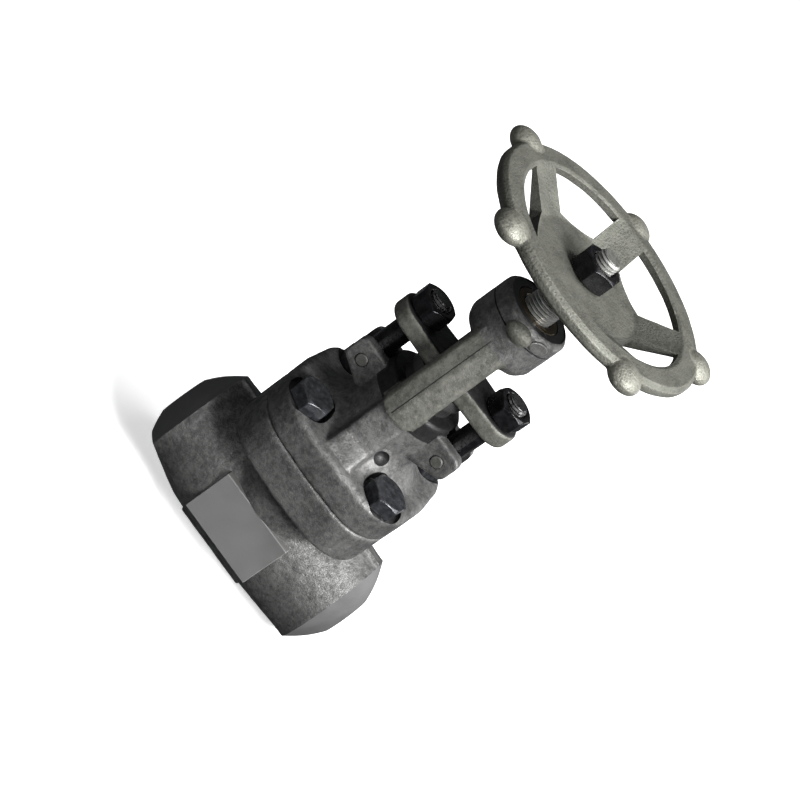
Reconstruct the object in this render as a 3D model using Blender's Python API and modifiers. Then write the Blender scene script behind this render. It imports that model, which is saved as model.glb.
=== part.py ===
"""Forged steel globe valve with a bolted bonnet, an outside screw and yoke, and weld ends.

The frame has its origin at the centre of the flat under the body, +Z up along the stem
and X along the pipe, with the inlet at -X. All heights in the named sizes are measured
from the pipe axis, and one empty lifts the whole valve so that the flat lies at Z = 0.
The valve is drawn fully open: the disc hangs at the top of its lift.
"""
from math import atan2, cos, pi, radians, sin, sqrt

import bmesh
import bpy
from mathutils import Matrix, Vector

MM = 0.001

# Clearances
GAP = 0.3 * MM               # between pieces that touch in the real valve
RUNNING = 0.3 * MM           # radial, round a shaft, a stud or a sleeve

# Body
FACE_TO_FACE = 111.0 * MM
WELD_END_RADIUS = 10.65 * MM
WELD_BORE_RADIUS = 6.95 * MM
WELD_BORE_DEPTH = 12.0 * MM
BEVEL_DEPTH = 9.0 * MM
SPIGOT_RADIUS = 25.6 * MM
SPIGOT_ROOT_RADIUS = 27.0 * MM
BODY_BOTTOM = 27.6 * MM
BASE_HALF_WIDTH = 10.0 * MM
PAD_LENGTH = 38.6 * MM
PAD_HEIGHT = 25.0 * MM
PAD_REACH = 27.6 * MM
BOWL_OUTER_RADIUS = 28.0 * MM
BOWL_FLARE_RADIUS = 33.0 * MM
BOWL_FLARE_DROP = 7.0 * MM
BOWL_RADIUS = 17.0 * MM
BOWL_FLOOR = 6.5 * MM
PORT_RADIUS = 6.0 * MM
PORT_DEPTH = 13.0 * MM
INLET_DROP = 8.0 * MM
OUTLET_RISE = 17.5 * MM
OUTLET_REACH = 9.0 * MM
TRIM_ANGLE = radians(17.0)
TRIM_ROLL = radians(27.0)
TRIM_START = 24.0 * MM
TRIM_DISTANCE = 26.9 * MM

# Joint between body and bonnet
JOINT_HEIGHT = 45.3 * MM
BODY_FLANGE_THICKNESS = 16.8 * MM
BONNET_FLANGE_THICKNESS = 13.7 * MM
FLANGE_HALF_WIDTH = 36.6 * MM
FLANGE_BOW = 1.0 * MM
FLANGE_CORNER_RADIUS = 22.0 * MM
FLANGE_ROUNDING = 3.0 * MM
RECESS_RADIUS = 24.0 * MM
RECESS_DEPTH = 5.0 * MM
GASKET_THICKNESS = 1.8 * MM
GASKET_BAND = 5.5 * MM

# Bonnet bolts
BOLT_PITCH = 47.0 * MM
BOLT_RADIUS = 5.0 * MM
BOLT_HEAD_FLATS = 16.0 * MM
BOLT_HEAD_HEIGHT = 6.6 * MM
BOLT_GRIP_BELOW = 11.5 * MM
BOLT_HOLE_BOTTOM = 1.0 * MM
POCKET_RADIUS = 10.4 * MM
POCKET_DEPTH = 2.0 * MM
POCKET_REACH = 5.3 * MM      # of the pocket cutters above the neck's fillet

# Bonnet neck and stuffing box
NECK_ROOT_RADIUS = 31.0 * MM
NECK_RADIUS = 19.0 * MM
NECK_FILLET_HEIGHT = 13.0 * MM
NECK_ABOVE_EYE = 10.5 * MM
BOX_DEPTH = 24.5 * MM
RIB_HALF_WIDTH = 7.5 * MM    # of the web on the neck under each yoke arm
RIB_REACH = 32.6 * MM
RIB_SINK = 2.2 * MM
PACKING_RINGS = 5
PACKING_RING_HEIGHT = 4.1 * MM
PACKING_RADIAL_WIDTH = 5.4 * MM

# Clevis lugs and gland bolting
EYE_OFFSET = 24.3 * MM
EYE_HEIGHT = 80.5 * MM
EYE_RADIUS = 6.0 * MM
EYE_WIDTH = 9.6 * MM
LUG_ABOVE = 7.4 * MM
LUG_BELOW = 5.4 * MM
LUG_REACH = 7.0 * MM
LUG_CORNER_RADIUS = 3.6 * MM
LUG_WIDTH = 20.0 * MM
LUG_ROOT_DROP = 3.6 * MM
LUG_SINK = 4.0 * MM          # how far a lug's root reaches into the neck
PIN_RADIUS = 2.6 * MM
PIN_LENGTH = 21.0 * MM
EYEBOLT_RADIUS = 5.0 * MM
EYEBOLT_REACH = 1.7 * MM     # of the thread above its nut
GLAND_NUT_FLATS = 16.0 * MM
GLAND_NUT_HEIGHT = 8.0 * MM
GLAND_FLANGE_THICKNESS = 8.0 * MM
GLAND_FLANGE_EAR_RADIUS = 10.0 * MM
GLAND_FLANGE_WAIST = 11.5 * MM
GLAND_ABOVE_EYE = 20.8 * MM
FOLLOWER_COLLAR_RADIUS = 13.8 * MM
FOLLOWER_COLLAR_HEIGHT = 5.0 * MM

# Chamfers, roundings and overshoots
PAST = 1.0 * MM              # of a cutter past the face it opens, or of a piece into the next
END_CHAMFER = 1.0 * MM
SMALL_CHAMFER = 0.8 * MM
NUT_CHAMFER = 1.3 * MM
PAD_ROUNDING = 1.0 * MM
BASE_ROUNDING = 0.8 * MM
BOWL_FLARE_LIP = 0.5 * MM
BOWL_FLARE_WAIST = 1.5 * MM
FLANGE_ROUNDING = 1.2 * MM
PORT_CLEARANCE = 1.0 * MM
ARM_CHAMFER = 1.6 * MM
ARM_ROOT_DROP = 8.0 * MM
RIB_STANDOFF = 1.6 * MM
HUB_BOSS_SINK = 1.5 * MM
HUB_ROUND_HEIGHT = 5.0 * MM
NECK_ROOT_LAP = 4.0 * MM
LUG_ROUNDING = 1.0 * MM
GLAND_ROUNDING = 1.2 * MM
GLAND_BORE_CLEARANCE = 1.0 * MM
SQUARE_DROP = 0.5 * MM
SQUARE_ROUNDING = 1.0 * MM
WINDOW_ROUNDING = 2.5 * MM
WINDOW_RIM_BITE = 0.3 * MM
RIM_CHAMFER = 1.6 * MM
RIM_EDGE_OUTSET = 1.0 * MM
PLATE_EDGE_INSET = 2.0 * MM
BOSS_CHAMFER = 3.0 * MM

# Yoke
ARM_WIDTH = 17.2 * MM
ARM_BITE = 1.0 * MM
ARM_RIDGE = 1.5 * MM
ARM_ROOT_LAP = 7.0 * MM      # of an arm's foot over the neck
ARM_FOOT_REACH = 26.0 * MM
ARM_DRAW_IN = 9.6 * MM
ARM_HEAD_DROP = 4.0 * MM
ARM_CORNER_RADIUS = 5.0 * MM
HUB_RADIUS = 16.8 * MM
HUB_CLEARANCE = 4.7 * MM     # above the eyebolts
HUB_LENGTH = 23.5 * MM
HUB_RING = 6.9 * MM          # from the groove to the hub's top
HUB_GROOVE = 0.8 * MM
HUB_BOSS_TURN = radians(-82.0)
HUB_BOSS_RADIUS = 6.0 * MM
HUB_BOSS_HEIGHT = 4.3 * MM
HUB_BOSS_DROP = 4.9 * MM
BUSHING_RADIUS = 10.7 * MM
SET_PIN_RADIUS = 2.6 * MM
SET_PIN_PROUD = 0.8 * MM
SET_PIN_TURN = radians(-50.0)
SET_PIN_DROP = 3.6 * MM

# Stem, disc and seat
STEM_RADIUS = 7.0 * MM
STEM_NECK_RADIUS = 4.7 * MM
STEM_BUTTON_RADIUS = 7.5 * MM
STEM_BUTTON_HEIGHT = 3.5 * MM
STEM_COLLAR_RADIUS = 9.0 * MM
STEM_COLLAR_HEIGHT = 3.5 * MM
WHEEL_CLEARANCE = 12.0 * MM   # from the hub to the wheel's boss, fully open
STEM_SQUARE = 10.0 * MM
STEM_STUB_RADIUS = 5.0 * MM
STEM_STUB_REACH = 4.0 * MM
LIFT = 10.0 * MM
SEAT_TOP = 13.0 * MM
SEAT_RING_RADIUS = 11.0 * MM
SEAT_RING_HEIGHT = 8.7 * MM
SEAT_CHAMFER = 2.0 * MM
DISC_RADIUS = 11.5 * MM
DISC_NOSE = 3.0 * MM
DISC_FLOOR = 3.5 * MM
DISC_WALL = 3.4 * MM
RETAINER_HEIGHT = 4.8 * MM
BACKSEAT_RADIUS = 11.5 * MM
BACKSEAT_HEIGHT = 11.7 * MM

# Handwheel
WHEEL_RIM_RADIUS = 49.8 * MM
WHEEL_RIM_WIDTH = 10.0 * MM
WHEEL_RIM_THICKNESS = 6.0 * MM
WHEEL_DISH = 6.2 * MM
WHEEL_PLATE_RADIUS = 29.0 * MM
WHEEL_PLATE_THICKNESS = 5.5 * MM
WHEEL_BOSS_RADIUS = 11.0 * MM
WHEEL_BOSS_HEIGHT = 11.0 * MM
WHEEL_SPOKE_WIDTH = 11.0 * MM
WHEEL_LOBES = 5
WHEEL_LOBE_RADIUS = 7.6 * MM
WHEEL_LOBE_HEIGHT = 9.5 * MM
WHEEL_LOBE_CENTRE = 55.2 * MM
WHEEL_TURN = radians(2.8)
WHEEL_NUT_FLATS = 17.0 * MM
WHEEL_NUT_HEIGHT = 8.5 * MM

# Roundness
FINE = 40
WHEEL_STEPS = 50
MEDIUM = 24
COARSE = 14
ARC_STEP = radians(18.0)

# Heights and radii that follow from the sizes above
FLANGE_BOTTOM = JOINT_HEIGHT - BODY_FLANGE_THICKNESS
BONNET_FACE = JOINT_HEIGHT + GAP
NECK_TOP = EYE_HEIGHT + NECK_ABOVE_EYE
BOX_FLOOR = NECK_TOP - BOX_DEPTH
BONNET_FLANGE_TOP = BONNET_FACE + BONNET_FLANGE_THICKNESS
POCKET_FLOOR = BONNET_FLANGE_TOP - POCKET_DEPTH
RECESS_FLOOR = JOINT_HEIGHT - RECESS_DEPTH
TONGUE_BOTTOM = RECESS_FLOOR + GASKET_THICKNESS + 2.0 * GAP
SEAT_BOTTOM = SEAT_TOP - SEAT_RING_HEIGHT
SEAT_LINE = SEAT_TOP - SEAT_CHAMFER - PORT_RADIUS
DISC_NOSE_RADIUS = PORT_RADIUS - 0.4 * MM
DISC_BOTTOM = SEAT_LINE + DISC_NOSE_RADIUS + GAP * sqrt(2.0) + LIFT
DISC_CAVITY_FLOOR = DISC_BOTTOM + DISC_NOSE + DISC_FLOOR
DISC_CAVITY_RADIUS = DISC_RADIUS - DISC_WALL
BUTTON_BOTTOM = DISC_CAVITY_FLOOR + GAP
BUTTON_TOP = BUTTON_BOTTOM + STEM_BUTTON_HEIGHT
RETAINER_BOTTOM = BUTTON_TOP + GAP
RETAINER_TOP = RETAINER_BOTTOM + RETAINER_HEIGHT
DISC_TOP = RETAINER_TOP
COLLAR_BOTTOM = RETAINER_TOP + 1.2 * MM
COLLAR_TOP = COLLAR_BOTTOM + STEM_COLLAR_HEIGHT
STEM_BORE_RADIUS = STEM_RADIUS + RUNNING
BACKSEAT_LINE = COLLAR_TOP + STEM_COLLAR_RADIUS + GAP * sqrt(2.0)
BACKSEAT_BOTTOM = COLLAR_TOP + GAP
BACKSEAT_TOP = BACKSEAT_BOTTOM + BACKSEAT_HEIGHT
BOX_RADIUS = STEM_BORE_RADIUS + PACKING_RADIAL_WIDTH + RUNNING
PACKING_TOP = BOX_FLOOR + PACKING_RINGS * (PACKING_RING_HEIGHT + GAP)
FOLLOWER_BOTTOM = PACKING_TOP + GAP
GLAND_FLANGE_BOTTOM = EYE_HEIGHT + GLAND_ABOVE_EYE
FOLLOWER_TOP = GLAND_FLANGE_BOTTOM - GAP
FOLLOWER_RADIUS = BOX_RADIUS - RUNNING
GLAND_FLANGE_TOP = GLAND_FLANGE_BOTTOM + GLAND_FLANGE_THICKNESS
GLAND_NUT_BOTTOM = GLAND_FLANGE_TOP + GAP
EYEBOLT_TOP = GLAND_NUT_BOTTOM + GLAND_NUT_HEIGHT + EYEBOLT_REACH
HUB_BOTTOM = EYEBOLT_TOP + HUB_CLEARANCE
HUB_TOP = HUB_BOTTOM + HUB_LENGTH
HUB_GROOVE_HEIGHT = HUB_TOP - HUB_RING
SET_PIN_HEIGHT = HUB_TOP - SET_PIN_DROP
ARM_FOOT_HEIGHT = NECK_TOP - ARM_ROOT_LAP
ARM_TOP = HUB_GROOVE_HEIGHT - ARM_HEAD_DROP
ARM_DEPTH = ARM_FOOT_REACH - NECK_RADIUS + ARM_BITE
ARM_LEAN = ARM_DRAW_IN / (ARM_TOP - ARM_FOOT_HEIGHT)
STEM_SHOULDER = HUB_TOP + WHEEL_CLEARANCE
WHEEL_BOTTOM = STEM_SHOULDER + GAP
WHEEL_PLATE_TOP = WHEEL_BOTTOM + WHEEL_BOSS_HEIGHT
WHEEL_NUT_BOTTOM = WHEEL_PLATE_TOP + GAP
STEM_TOP = WHEEL_NUT_BOTTOM + WHEEL_NUT_HEIGHT + STEM_STUB_REACH
RIM_BOTTOM = WHEEL_PLATE_TOP + WHEEL_DISH - 0.5 * WHEEL_RIM_THICKNESS
RIM_TOP = RIM_BOTTOM + WHEEL_RIM_THICKNESS


def clear_scene():
    """Remove the objects that the file was opened with."""
    for thing in list(bpy.data.objects):
        bpy.data.objects.remove(thing, do_unlink=True)


def new_collection(name):
    """Return a new collection linked to the scene."""
    collection = bpy.data.collections.new(name)
    bpy.context.scene.collection.children.link(collection)
    return collection


clear_scene()
VALVE = new_collection("globe_valve")
CUTTERS = new_collection("cutters")


def material(name, colour, roughness, metallic):
    """Return a Principled material."""
    made = bpy.data.materials.new(name)
    made.use_nodes = True
    shader = made.node_tree.nodes["Principled BSDF"]
    shader.inputs["Base Color"].default_value = (*colour, 1.0)
    shader.inputs["Roughness"].default_value = roughness
    shader.inputs["Metallic"].default_value = metallic
    return made


FORGED = material("forged_phosphate", (0.09, 0.09, 0.088), 0.55, 0.6)
CAST = material("cast_iron_wheel", (0.2, 0.2, 0.17), 0.6, 0.5)
BLACK = material("black_oxide", (0.02, 0.02, 0.023), 0.3, 0.7)
BRIGHT = material("stainless_steel", (0.55, 0.55, 0.54), 0.25, 1.0)
GRAPHITE = material("graphite", (0.05, 0.05, 0.055), 0.5, 0.3)
BRONZE = material("aluminium_bronze", (0.5, 0.36, 0.16), 0.35, 1.0)


def mesh_object(name, mesh, place=Matrix.Identity(4), collection=None):
    """Put a mesh in the scene as an object in the valve or, with a name alone, the given one."""
    thing = bpy.data.objects.new(name, mesh)
    thing.matrix_world = place
    (collection or CUTTERS).objects.link(thing)
    if (collection or CUTTERS) is CUTTERS:
        thing.hide_render = True
        thing.display_type = "WIRE"
    return thing


def smooth(thing):
    """Shade a round piece smooth, with its real edges kept sharp."""
    thing.data.shade_smooth()
    thing.data.set_sharp_from_angle(angle=radians(35.0))


def turned(name, profile, steps=MEDIUM, collection=None):
    """Turn a closed solid about Z from (radius, height) points, run down its outer side."""
    mesh = bpy.data.meshes.new(name)
    builder = bmesh.new()
    points = [builder.verts.new((radius, 0.0, height)) for radius, height in profile]
    for low, high in zip(points, points[1:]):
        builder.edges.new((low, high))
    if profile[0][0] > 0.0:
        builder.edges.new((points[-1], points[0]))
    builder.to_mesh(mesh)
    builder.free()
    thing = mesh_object(name, mesh, collection=collection)
    screw = thing.modifiers.new("turn", "SCREW")
    screw.steps = steps
    screw.render_steps = steps
    screw.use_merge_vertices = True
    screw.merge_threshold = 0.00001
    return thing


def cylinder(name, radius, low, high, steps=MEDIUM, centre=(0.0, 0.0)):
    """Return an upright cylinder between two heights."""
    mesh = bpy.data.meshes.new(name)
    builder = bmesh.new()
    bmesh.ops.create_cone(builder, cap_ends=True, segments=steps, radius1=radius,
                          radius2=radius, depth=high - low,
                          matrix=Matrix.Translation((*centre, 0.5 * (low + high))))
    builder.to_mesh(mesh)
    builder.free()
    return mesh_object(name, mesh)


def rod(name, radius, start, end, steps=MEDIUM):
    """Return a cylinder between two points."""
    start, end = Vector(start), Vector(end)
    turn = (end - start).to_track_quat("Z", "Y").to_matrix().to_4x4()
    mesh = bpy.data.meshes.new(name)
    builder = bmesh.new()
    bmesh.ops.create_cone(builder, cap_ends=True, segments=steps, radius1=radius,
                          radius2=radius, depth=(end - start).length,
                          matrix=Matrix.Translation(0.5 * (start + end)) @ turn)
    builder.to_mesh(mesh)
    builder.free()
    return mesh_object(name, mesh)


def box(name, low, high, place=Matrix.Identity(4), rounding=0.0):
    """Return a box between two corners, with rounded edges if asked."""
    low, high = Vector(low), Vector(high)
    mesh = bpy.data.meshes.new(name)
    builder = bmesh.new()
    bmesh.ops.create_cube(builder, size=1.0)
    bmesh.ops.scale(builder, vec=high - low, verts=builder.verts)
    bmesh.ops.translate(builder, vec=0.5 * (low + high), verts=builder.verts)
    builder.to_mesh(mesh)
    builder.free()
    thing = mesh_object(name, mesh, place)
    if rounding > 0.0:
        round_edges(thing, rounding)
    return thing


def round_edges(thing, width, segments=2, angle=radians(40.0)):
    """Round the sharp edges of a piece before it is joined or cut."""
    bevel = thing.modifiers.new("rounding", "BEVEL")
    bevel.width = width
    bevel.segments = segments
    bevel.limit_method = "ANGLE"
    bevel.angle_limit = angle
    return bevel


def plate(name, outline, low, high, place=Matrix.Identity(4), collection=None):
    """Return a flat solid with the given outline, between two heights."""
    curve = bpy.data.curves.new(name, "CURVE")
    curve.dimensions = "2D"
    curve.fill_mode = "BOTH"
    curve.extrude = 0.5 * (high - low)
    spline = curve.splines.new("POLY")
    spline.points.add(len(outline) - 1)
    for point, (x, y) in zip(spline.points, outline):
        point.co = (x, y, 0.0, 1.0)
    spline.use_cyclic_u = True
    drawn = bpy.data.objects.new(name + "_outline", curve)
    bpy.context.scene.collection.objects.link(drawn)
    bpy.context.view_layer.update()
    graph = bpy.context.evaluated_depsgraph_get()
    mesh = bpy.data.meshes.new_from_object(drawn.evaluated_get(graph))
    mesh.name = name
    bpy.data.objects.remove(drawn, do_unlink=True)
    builder = bmesh.new()
    builder.from_mesh(mesh)
    bmesh.ops.remove_doubles(builder, verts=builder.verts, dist=0.000001)
    bmesh.ops.translate(builder, vec=(0.0, 0.0, 0.5 * (low + high)), verts=builder.verts)
    bmesh.ops.recalc_face_normals(builder, faces=builder.faces)
    bmesh.ops.dissolve_limit(builder, angle_limit=radians(0.1), verts=builder.verts,
                             edges=builder.edges)
    builder.to_mesh(mesh)
    builder.free()
    return mesh_object(name, mesh, place, collection)


def arc(centre, radius, start, end):
    """Return the points of an arc, ends included."""
    count = max(2, round(abs(end - start) / ARC_STEP) + 1)
    step = (end - start) / (count - 1)
    return [(centre[0] + radius * cos(start + step * index),
             centre[1] + radius * sin(start + step * index)) for index in range(count)]


def hexagon(flats):
    """Return the outline of a hexagon across its flats."""
    corner = flats / (2.0 * cos(pi / 6.0))
    return [(corner * cos(pi / 6.0 + turn * pi / 3.0), corner * sin(pi / 6.0 + turn * pi / 3.0))
            for turn in range(6)]


def combine(target, tool, operation):
    """Add one exact boolean step to a piece."""
    step = target.modifiers.new(tool.name, "BOOLEAN")
    step.operation = operation
    step.solver = "EXACT"
    step.object = tool
    return target


def join(target, *tools):
    """Unite pieces of one forging, casting or turning."""
    for tool in tools:
        combine(target, tool, "UNION")
    return target


def cut(target, *tools):
    """Cut holes, slots and pockets."""
    for tool in tools:
        combine(target, tool, "DIFFERENCE")
    return target


def finish(thing, name, look):
    """Make a shape one of the valve's pieces: name, collection and material."""
    CUTTERS.objects.unlink(thing)
    VALVE.objects.link(thing)
    thing.name = name
    thing.data.name = name
    thing.hide_render = False
    thing.display_type = "TEXTURED"
    thing.data.materials.clear()
    thing.data.materials.append(look)
    smooth(thing)
    return thing


def quarter_turns():
    """Return the four places of a bonnet bolt."""
    half = 0.5 * BOLT_PITCH
    return [(-half, -half), (half, -half), (half, half), (-half, half)]


def flange_outline():
    """Return the square flange's outline, with bowed sides and round corners."""
    flat = FLANGE_HALF_WIDTH - FLANGE_CORNER_RADIUS
    points = []
    for side in range(4):
        turn = Matrix.Rotation(side * 0.5 * pi, 2)
        bow = turn @ Vector((FLANGE_HALF_WIDTH + FLANGE_BOW, 0.0))
        corner = turn @ Vector((flat, flat))
        points.append((bow.x, bow.y))
        points.extend(arc((corner.x, corner.y), FLANGE_CORNER_RADIUS, side * 0.5 * pi,
                          (side + 1) * 0.5 * pi))
    return points


def make_body():
    """Forge the body: two spigots, side pads, the bowl and its flange, then bore it."""
    half = 0.5 * FACE_TO_FACE
    edge = half - BEVEL_DEPTH
    root = 0.5 * PAD_LENGTH
    ends = turned("body_ends", [(0.0, half), (WELD_END_RADIUS, half), (SPIGOT_RADIUS, edge),
                                (SPIGOT_ROOT_RADIUS, root), (SPIGOT_ROOT_RADIUS, -root),
                                (SPIGOT_RADIUS, -edge), (WELD_END_RADIUS, -half), (0.0, -half)],
                  FINE)
    ends.matrix_world = Matrix.Rotation(0.5 * pi, 4, "Y")
    trim_place = (Matrix.Rotation(-TRIM_ROLL, 4, "X")
                  @ Matrix.Translation((-TRIM_START, 0.0, -TRIM_DISTANCE))
                  @ Matrix.Rotation(TRIM_ANGLE, 4, "Y"))
    trim = box("inlet_trim", (-FACE_TO_FACE, -half, -half), (0.0, half, 0.0), trim_place)
    cut(ends, trim)
    pads = box("side_pads", (-root, -PAD_REACH, -0.5 * PAD_HEIGHT),
               (root, PAD_REACH, 0.5 * PAD_HEIGHT), rounding=PAD_ROUNDING)
    base = box("base_block", (-root, -BASE_HALF_WIDTH, -BODY_BOTTOM),
               (root, BASE_HALF_WIDTH, 0.0), rounding=BASE_ROUNDING)
    bowl = turned("bowl", [(0.0, FLANGE_BOTTOM + PAST),
                           (BOWL_FLARE_RADIUS, FLANGE_BOTTOM + PAST),
                           (BOWL_FLARE_RADIUS, FLANGE_BOTTOM - BOWL_FLARE_LIP),
                           (BOWL_OUTER_RADIUS + BOWL_FLARE_WAIST, FLANGE_BOTTOM - 0.4 * BOWL_FLARE_DROP),
                           (BOWL_OUTER_RADIUS, FLANGE_BOTTOM - BOWL_FLARE_DROP),
                           (BOWL_OUTER_RADIUS, 0.0), (0.0, 0.0)], FINE)
    flange = plate("body_flange", flange_outline(), FLANGE_BOTTOM, JOINT_HEIGHT)
    round_edges(flange, FLANGE_ROUNDING)
    join(ends, pads, base, bowl, flange)

    cavity = turned("body_cavity", [(0.0, JOINT_HEIGHT + PAST),
                                    (RECESS_RADIUS, JOINT_HEIGHT + PAST),
                                    (RECESS_RADIUS, RECESS_FLOOR), (BOWL_RADIUS, RECESS_FLOOR),
                                    (BOWL_RADIUS, BOWL_FLOOR),
                                    (SEAT_RING_RADIUS + GAP, BOWL_FLOOR),
                                    (SEAT_RING_RADIUS + GAP, SEAT_BOTTOM - GAP),
                                    (PORT_RADIUS + PORT_CLEARANCE, SEAT_BOTTOM - GAP),
                                    (PORT_RADIUS + PORT_CLEARANCE, -PORT_DEPTH), (0.0, -PORT_DEPTH)])
    bore_end = half - WELD_BORE_DEPTH
    inlet_mouth = rod("inlet_mouth", WELD_BORE_RADIUS, (-half - PAST, 0.0, 0.0),
                      (-bore_end, 0.0, 0.0))
    outlet_mouth = rod("outlet_mouth", WELD_BORE_RADIUS, (half + PAST, 0.0, 0.0),
                       (bore_end, 0.0, 0.0))
    inlet = rod("inlet_bore", PORT_RADIUS, (-bore_end - 2.0 * PAST, 0.0, 0.0),
                (0.0, 0.0, -INLET_DROP))
    outlet = rod("outlet_bore", PORT_RADIUS, (bore_end + 2.0 * PAST, 0.0, 0.0),
                 (OUTLET_REACH, 0.0, OUTLET_RISE))
    cut(ends, cavity, inlet_mouth, outlet_mouth, inlet, outlet)
    hole_floor = POCKET_FLOOR - BONNET_FLANGE_THICKNESS - BOLT_GRIP_BELOW - BOLT_HOLE_BOTTOM
    for number, centre in enumerate(quarter_turns()):
        cut(ends, cylinder(f"bolt_tapping_{number}", BOLT_RADIUS + RUNNING, hole_floor,
                           JOINT_HEIGHT + PAST, COARSE, centre))
    return finish(ends, "body", FORGED)


def make_gasket():
    """Make the flat ring that seals the joint."""
    low = RECESS_FLOOR + GAP
    outer = RECESS_RADIUS - GAP
    inner = outer - GASKET_BAND
    ring = turned("gasket", [(outer, low + GASKET_THICKNESS), (outer, low), (inner, low),
                             (inner, low + GASKET_THICKNESS)], FINE)
    return finish(ring, "bonnet_gasket", GRAPHITE)


def make_seat_ring():
    """Turn the seat ring that is screwed into the body's floor."""
    ring = turned("seat", [(PORT_RADIUS + SEAT_CHAMFER, SEAT_TOP), (SEAT_RING_RADIUS, SEAT_TOP),
                           (SEAT_RING_RADIUS, SEAT_BOTTOM), (PORT_RADIUS, SEAT_BOTTOM),
                           (PORT_RADIUS, SEAT_TOP - SEAT_CHAMFER)])
    return finish(ring, "seat_ring", BRIGHT)


def arm_section():
    """Return a yoke arm's section at its foot, seen from above, with a ridge in front."""
    half = 0.5 * ARM_WIDTH
    front = ARM_FOOT_REACH
    side = front - ARM_RIDGE
    back = front - ARM_DEPTH
    corner = ARM_CHAMFER
    return [(0.0, -front), (half - corner, -side), (half, -side + corner), (half, -back),
            (-half, -back), (-half, -side + corner), (-half + corner, -side)]


def arm_front(low, high):
    """Return a yoke arm's outline seen from the front, with its round lower end."""
    half = 0.5 * ARM_WIDTH + PAST
    radius = ARM_CORNER_RADIUS
    return ([(half, high), (-half, high)]
            + arc((-half + radius, low + radius), radius, pi, 1.5 * pi)
            + arc((half - radius, low + radius), radius, 1.5 * pi, 2.0 * pi))


def make_arm(number, turn):
    """Make one yoke arm, leaning in from its foot on the neck to the hub."""
    bar = plate(f"arm_{number}", arm_section(), ARM_FOOT_HEIGHT - ARM_ROOT_DROP, ARM_TOP)
    lean = Matrix.Identity(4)
    lean[1][2] = ARM_LEAN
    lean[1][3] = -ARM_LEAN * ARM_FOOT_HEIGHT
    bar.data.transform(lean)
    upright = Matrix.Rotation(0.5 * pi, 4, "X")
    front = plate(f"arm_front_{number}", arm_front(ARM_FOOT_HEIGHT, ARM_TOP + PAST),
                  0.0, 2.0 * ARM_FOOT_REACH, upright)
    combine(bar, front, "INTERSECT")
    bar.matrix_world = Matrix.Rotation(turn, 4, "Z")
    front.matrix_world = Matrix.Rotation(turn, 4, "Z") @ upright
    return bar


def lug_outline(side):
    """Return a clevis lug's outline seen from the front, with its two rounded outer corners."""
    root = NECK_RADIUS - LUG_SINK
    top = EYE_HEIGHT + LUG_ABOVE
    low = EYE_HEIGHT - LUG_BELOW
    corner = LUG_CORNER_RADIUS
    inset = EYE_OFFSET + LUG_REACH - corner
    points = ([(root, top), (root, low - LUG_ROOT_DROP), (NECK_RADIUS, low - LUG_ROOT_DROP)]
              + arc((inset, low + corner), corner, -0.5 * pi, 0.0)
              + arc((inset, top - corner), corner, 0.0, 0.5 * pi))
    return [(side * x, z) for x, z in points]


def make_rib(number, turn):
    """Make the web that runs from the flange up to a yoke arm's foot."""
    low = BONNET_FLANGE_TOP - RIB_SINK
    mid = BONNET_FLANGE_TOP + 0.5 * NECK_FILLET_HEIGHT
    high = ARM_FOOT_HEIGHT + ARM_CORNER_RADIUS
    inner = NECK_RADIUS - LUG_SINK
    outline = [(-inner, low), (-inner, high), (-NECK_RADIUS - RIB_STANDOFF, high),
               (-0.5 * (NECK_RADIUS + RIB_REACH), mid), (-RIB_REACH, low + 1.6 * RIB_SINK),
               (-RIB_REACH, low)]
    across = Matrix(((0.0, 0.0, 1.0, 0.0), (1.0, 0.0, 0.0, 0.0), (0.0, 1.0, 0.0, 0.0),
                     (0.0, 0.0, 0.0, 1.0)))
    return plate(f"rib_{number}", outline, -RIB_HALF_WIDTH, RIB_HALF_WIDTH,
                 Matrix.Rotation(turn, 4, "Z") @ across)


def make_hub_boss():
    """Make the cast boss on the front of the hub's ring."""
    ball = bpy.data.meshes.new("hub_boss")
    builder = bmesh.new()
    bmesh.ops.create_uvsphere(builder, u_segments=12, v_segments=8, radius=HUB_BOSS_RADIUS)
    bmesh.ops.scale(builder, vec=(0.7, 1.0, HUB_BOSS_HEIGHT / HUB_BOSS_RADIUS),
                    verts=builder.verts)
    builder.to_mesh(ball)
    builder.free()
    place = (Matrix.Rotation(HUB_BOSS_TURN, 4, "Z")
             @ Matrix.Translation((HUB_RADIUS - HUB_BOSS_SINK, 0.0, HUB_TOP - HUB_BOSS_DROP)))
    return mesh_object("hub_boss", ball, place)


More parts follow.
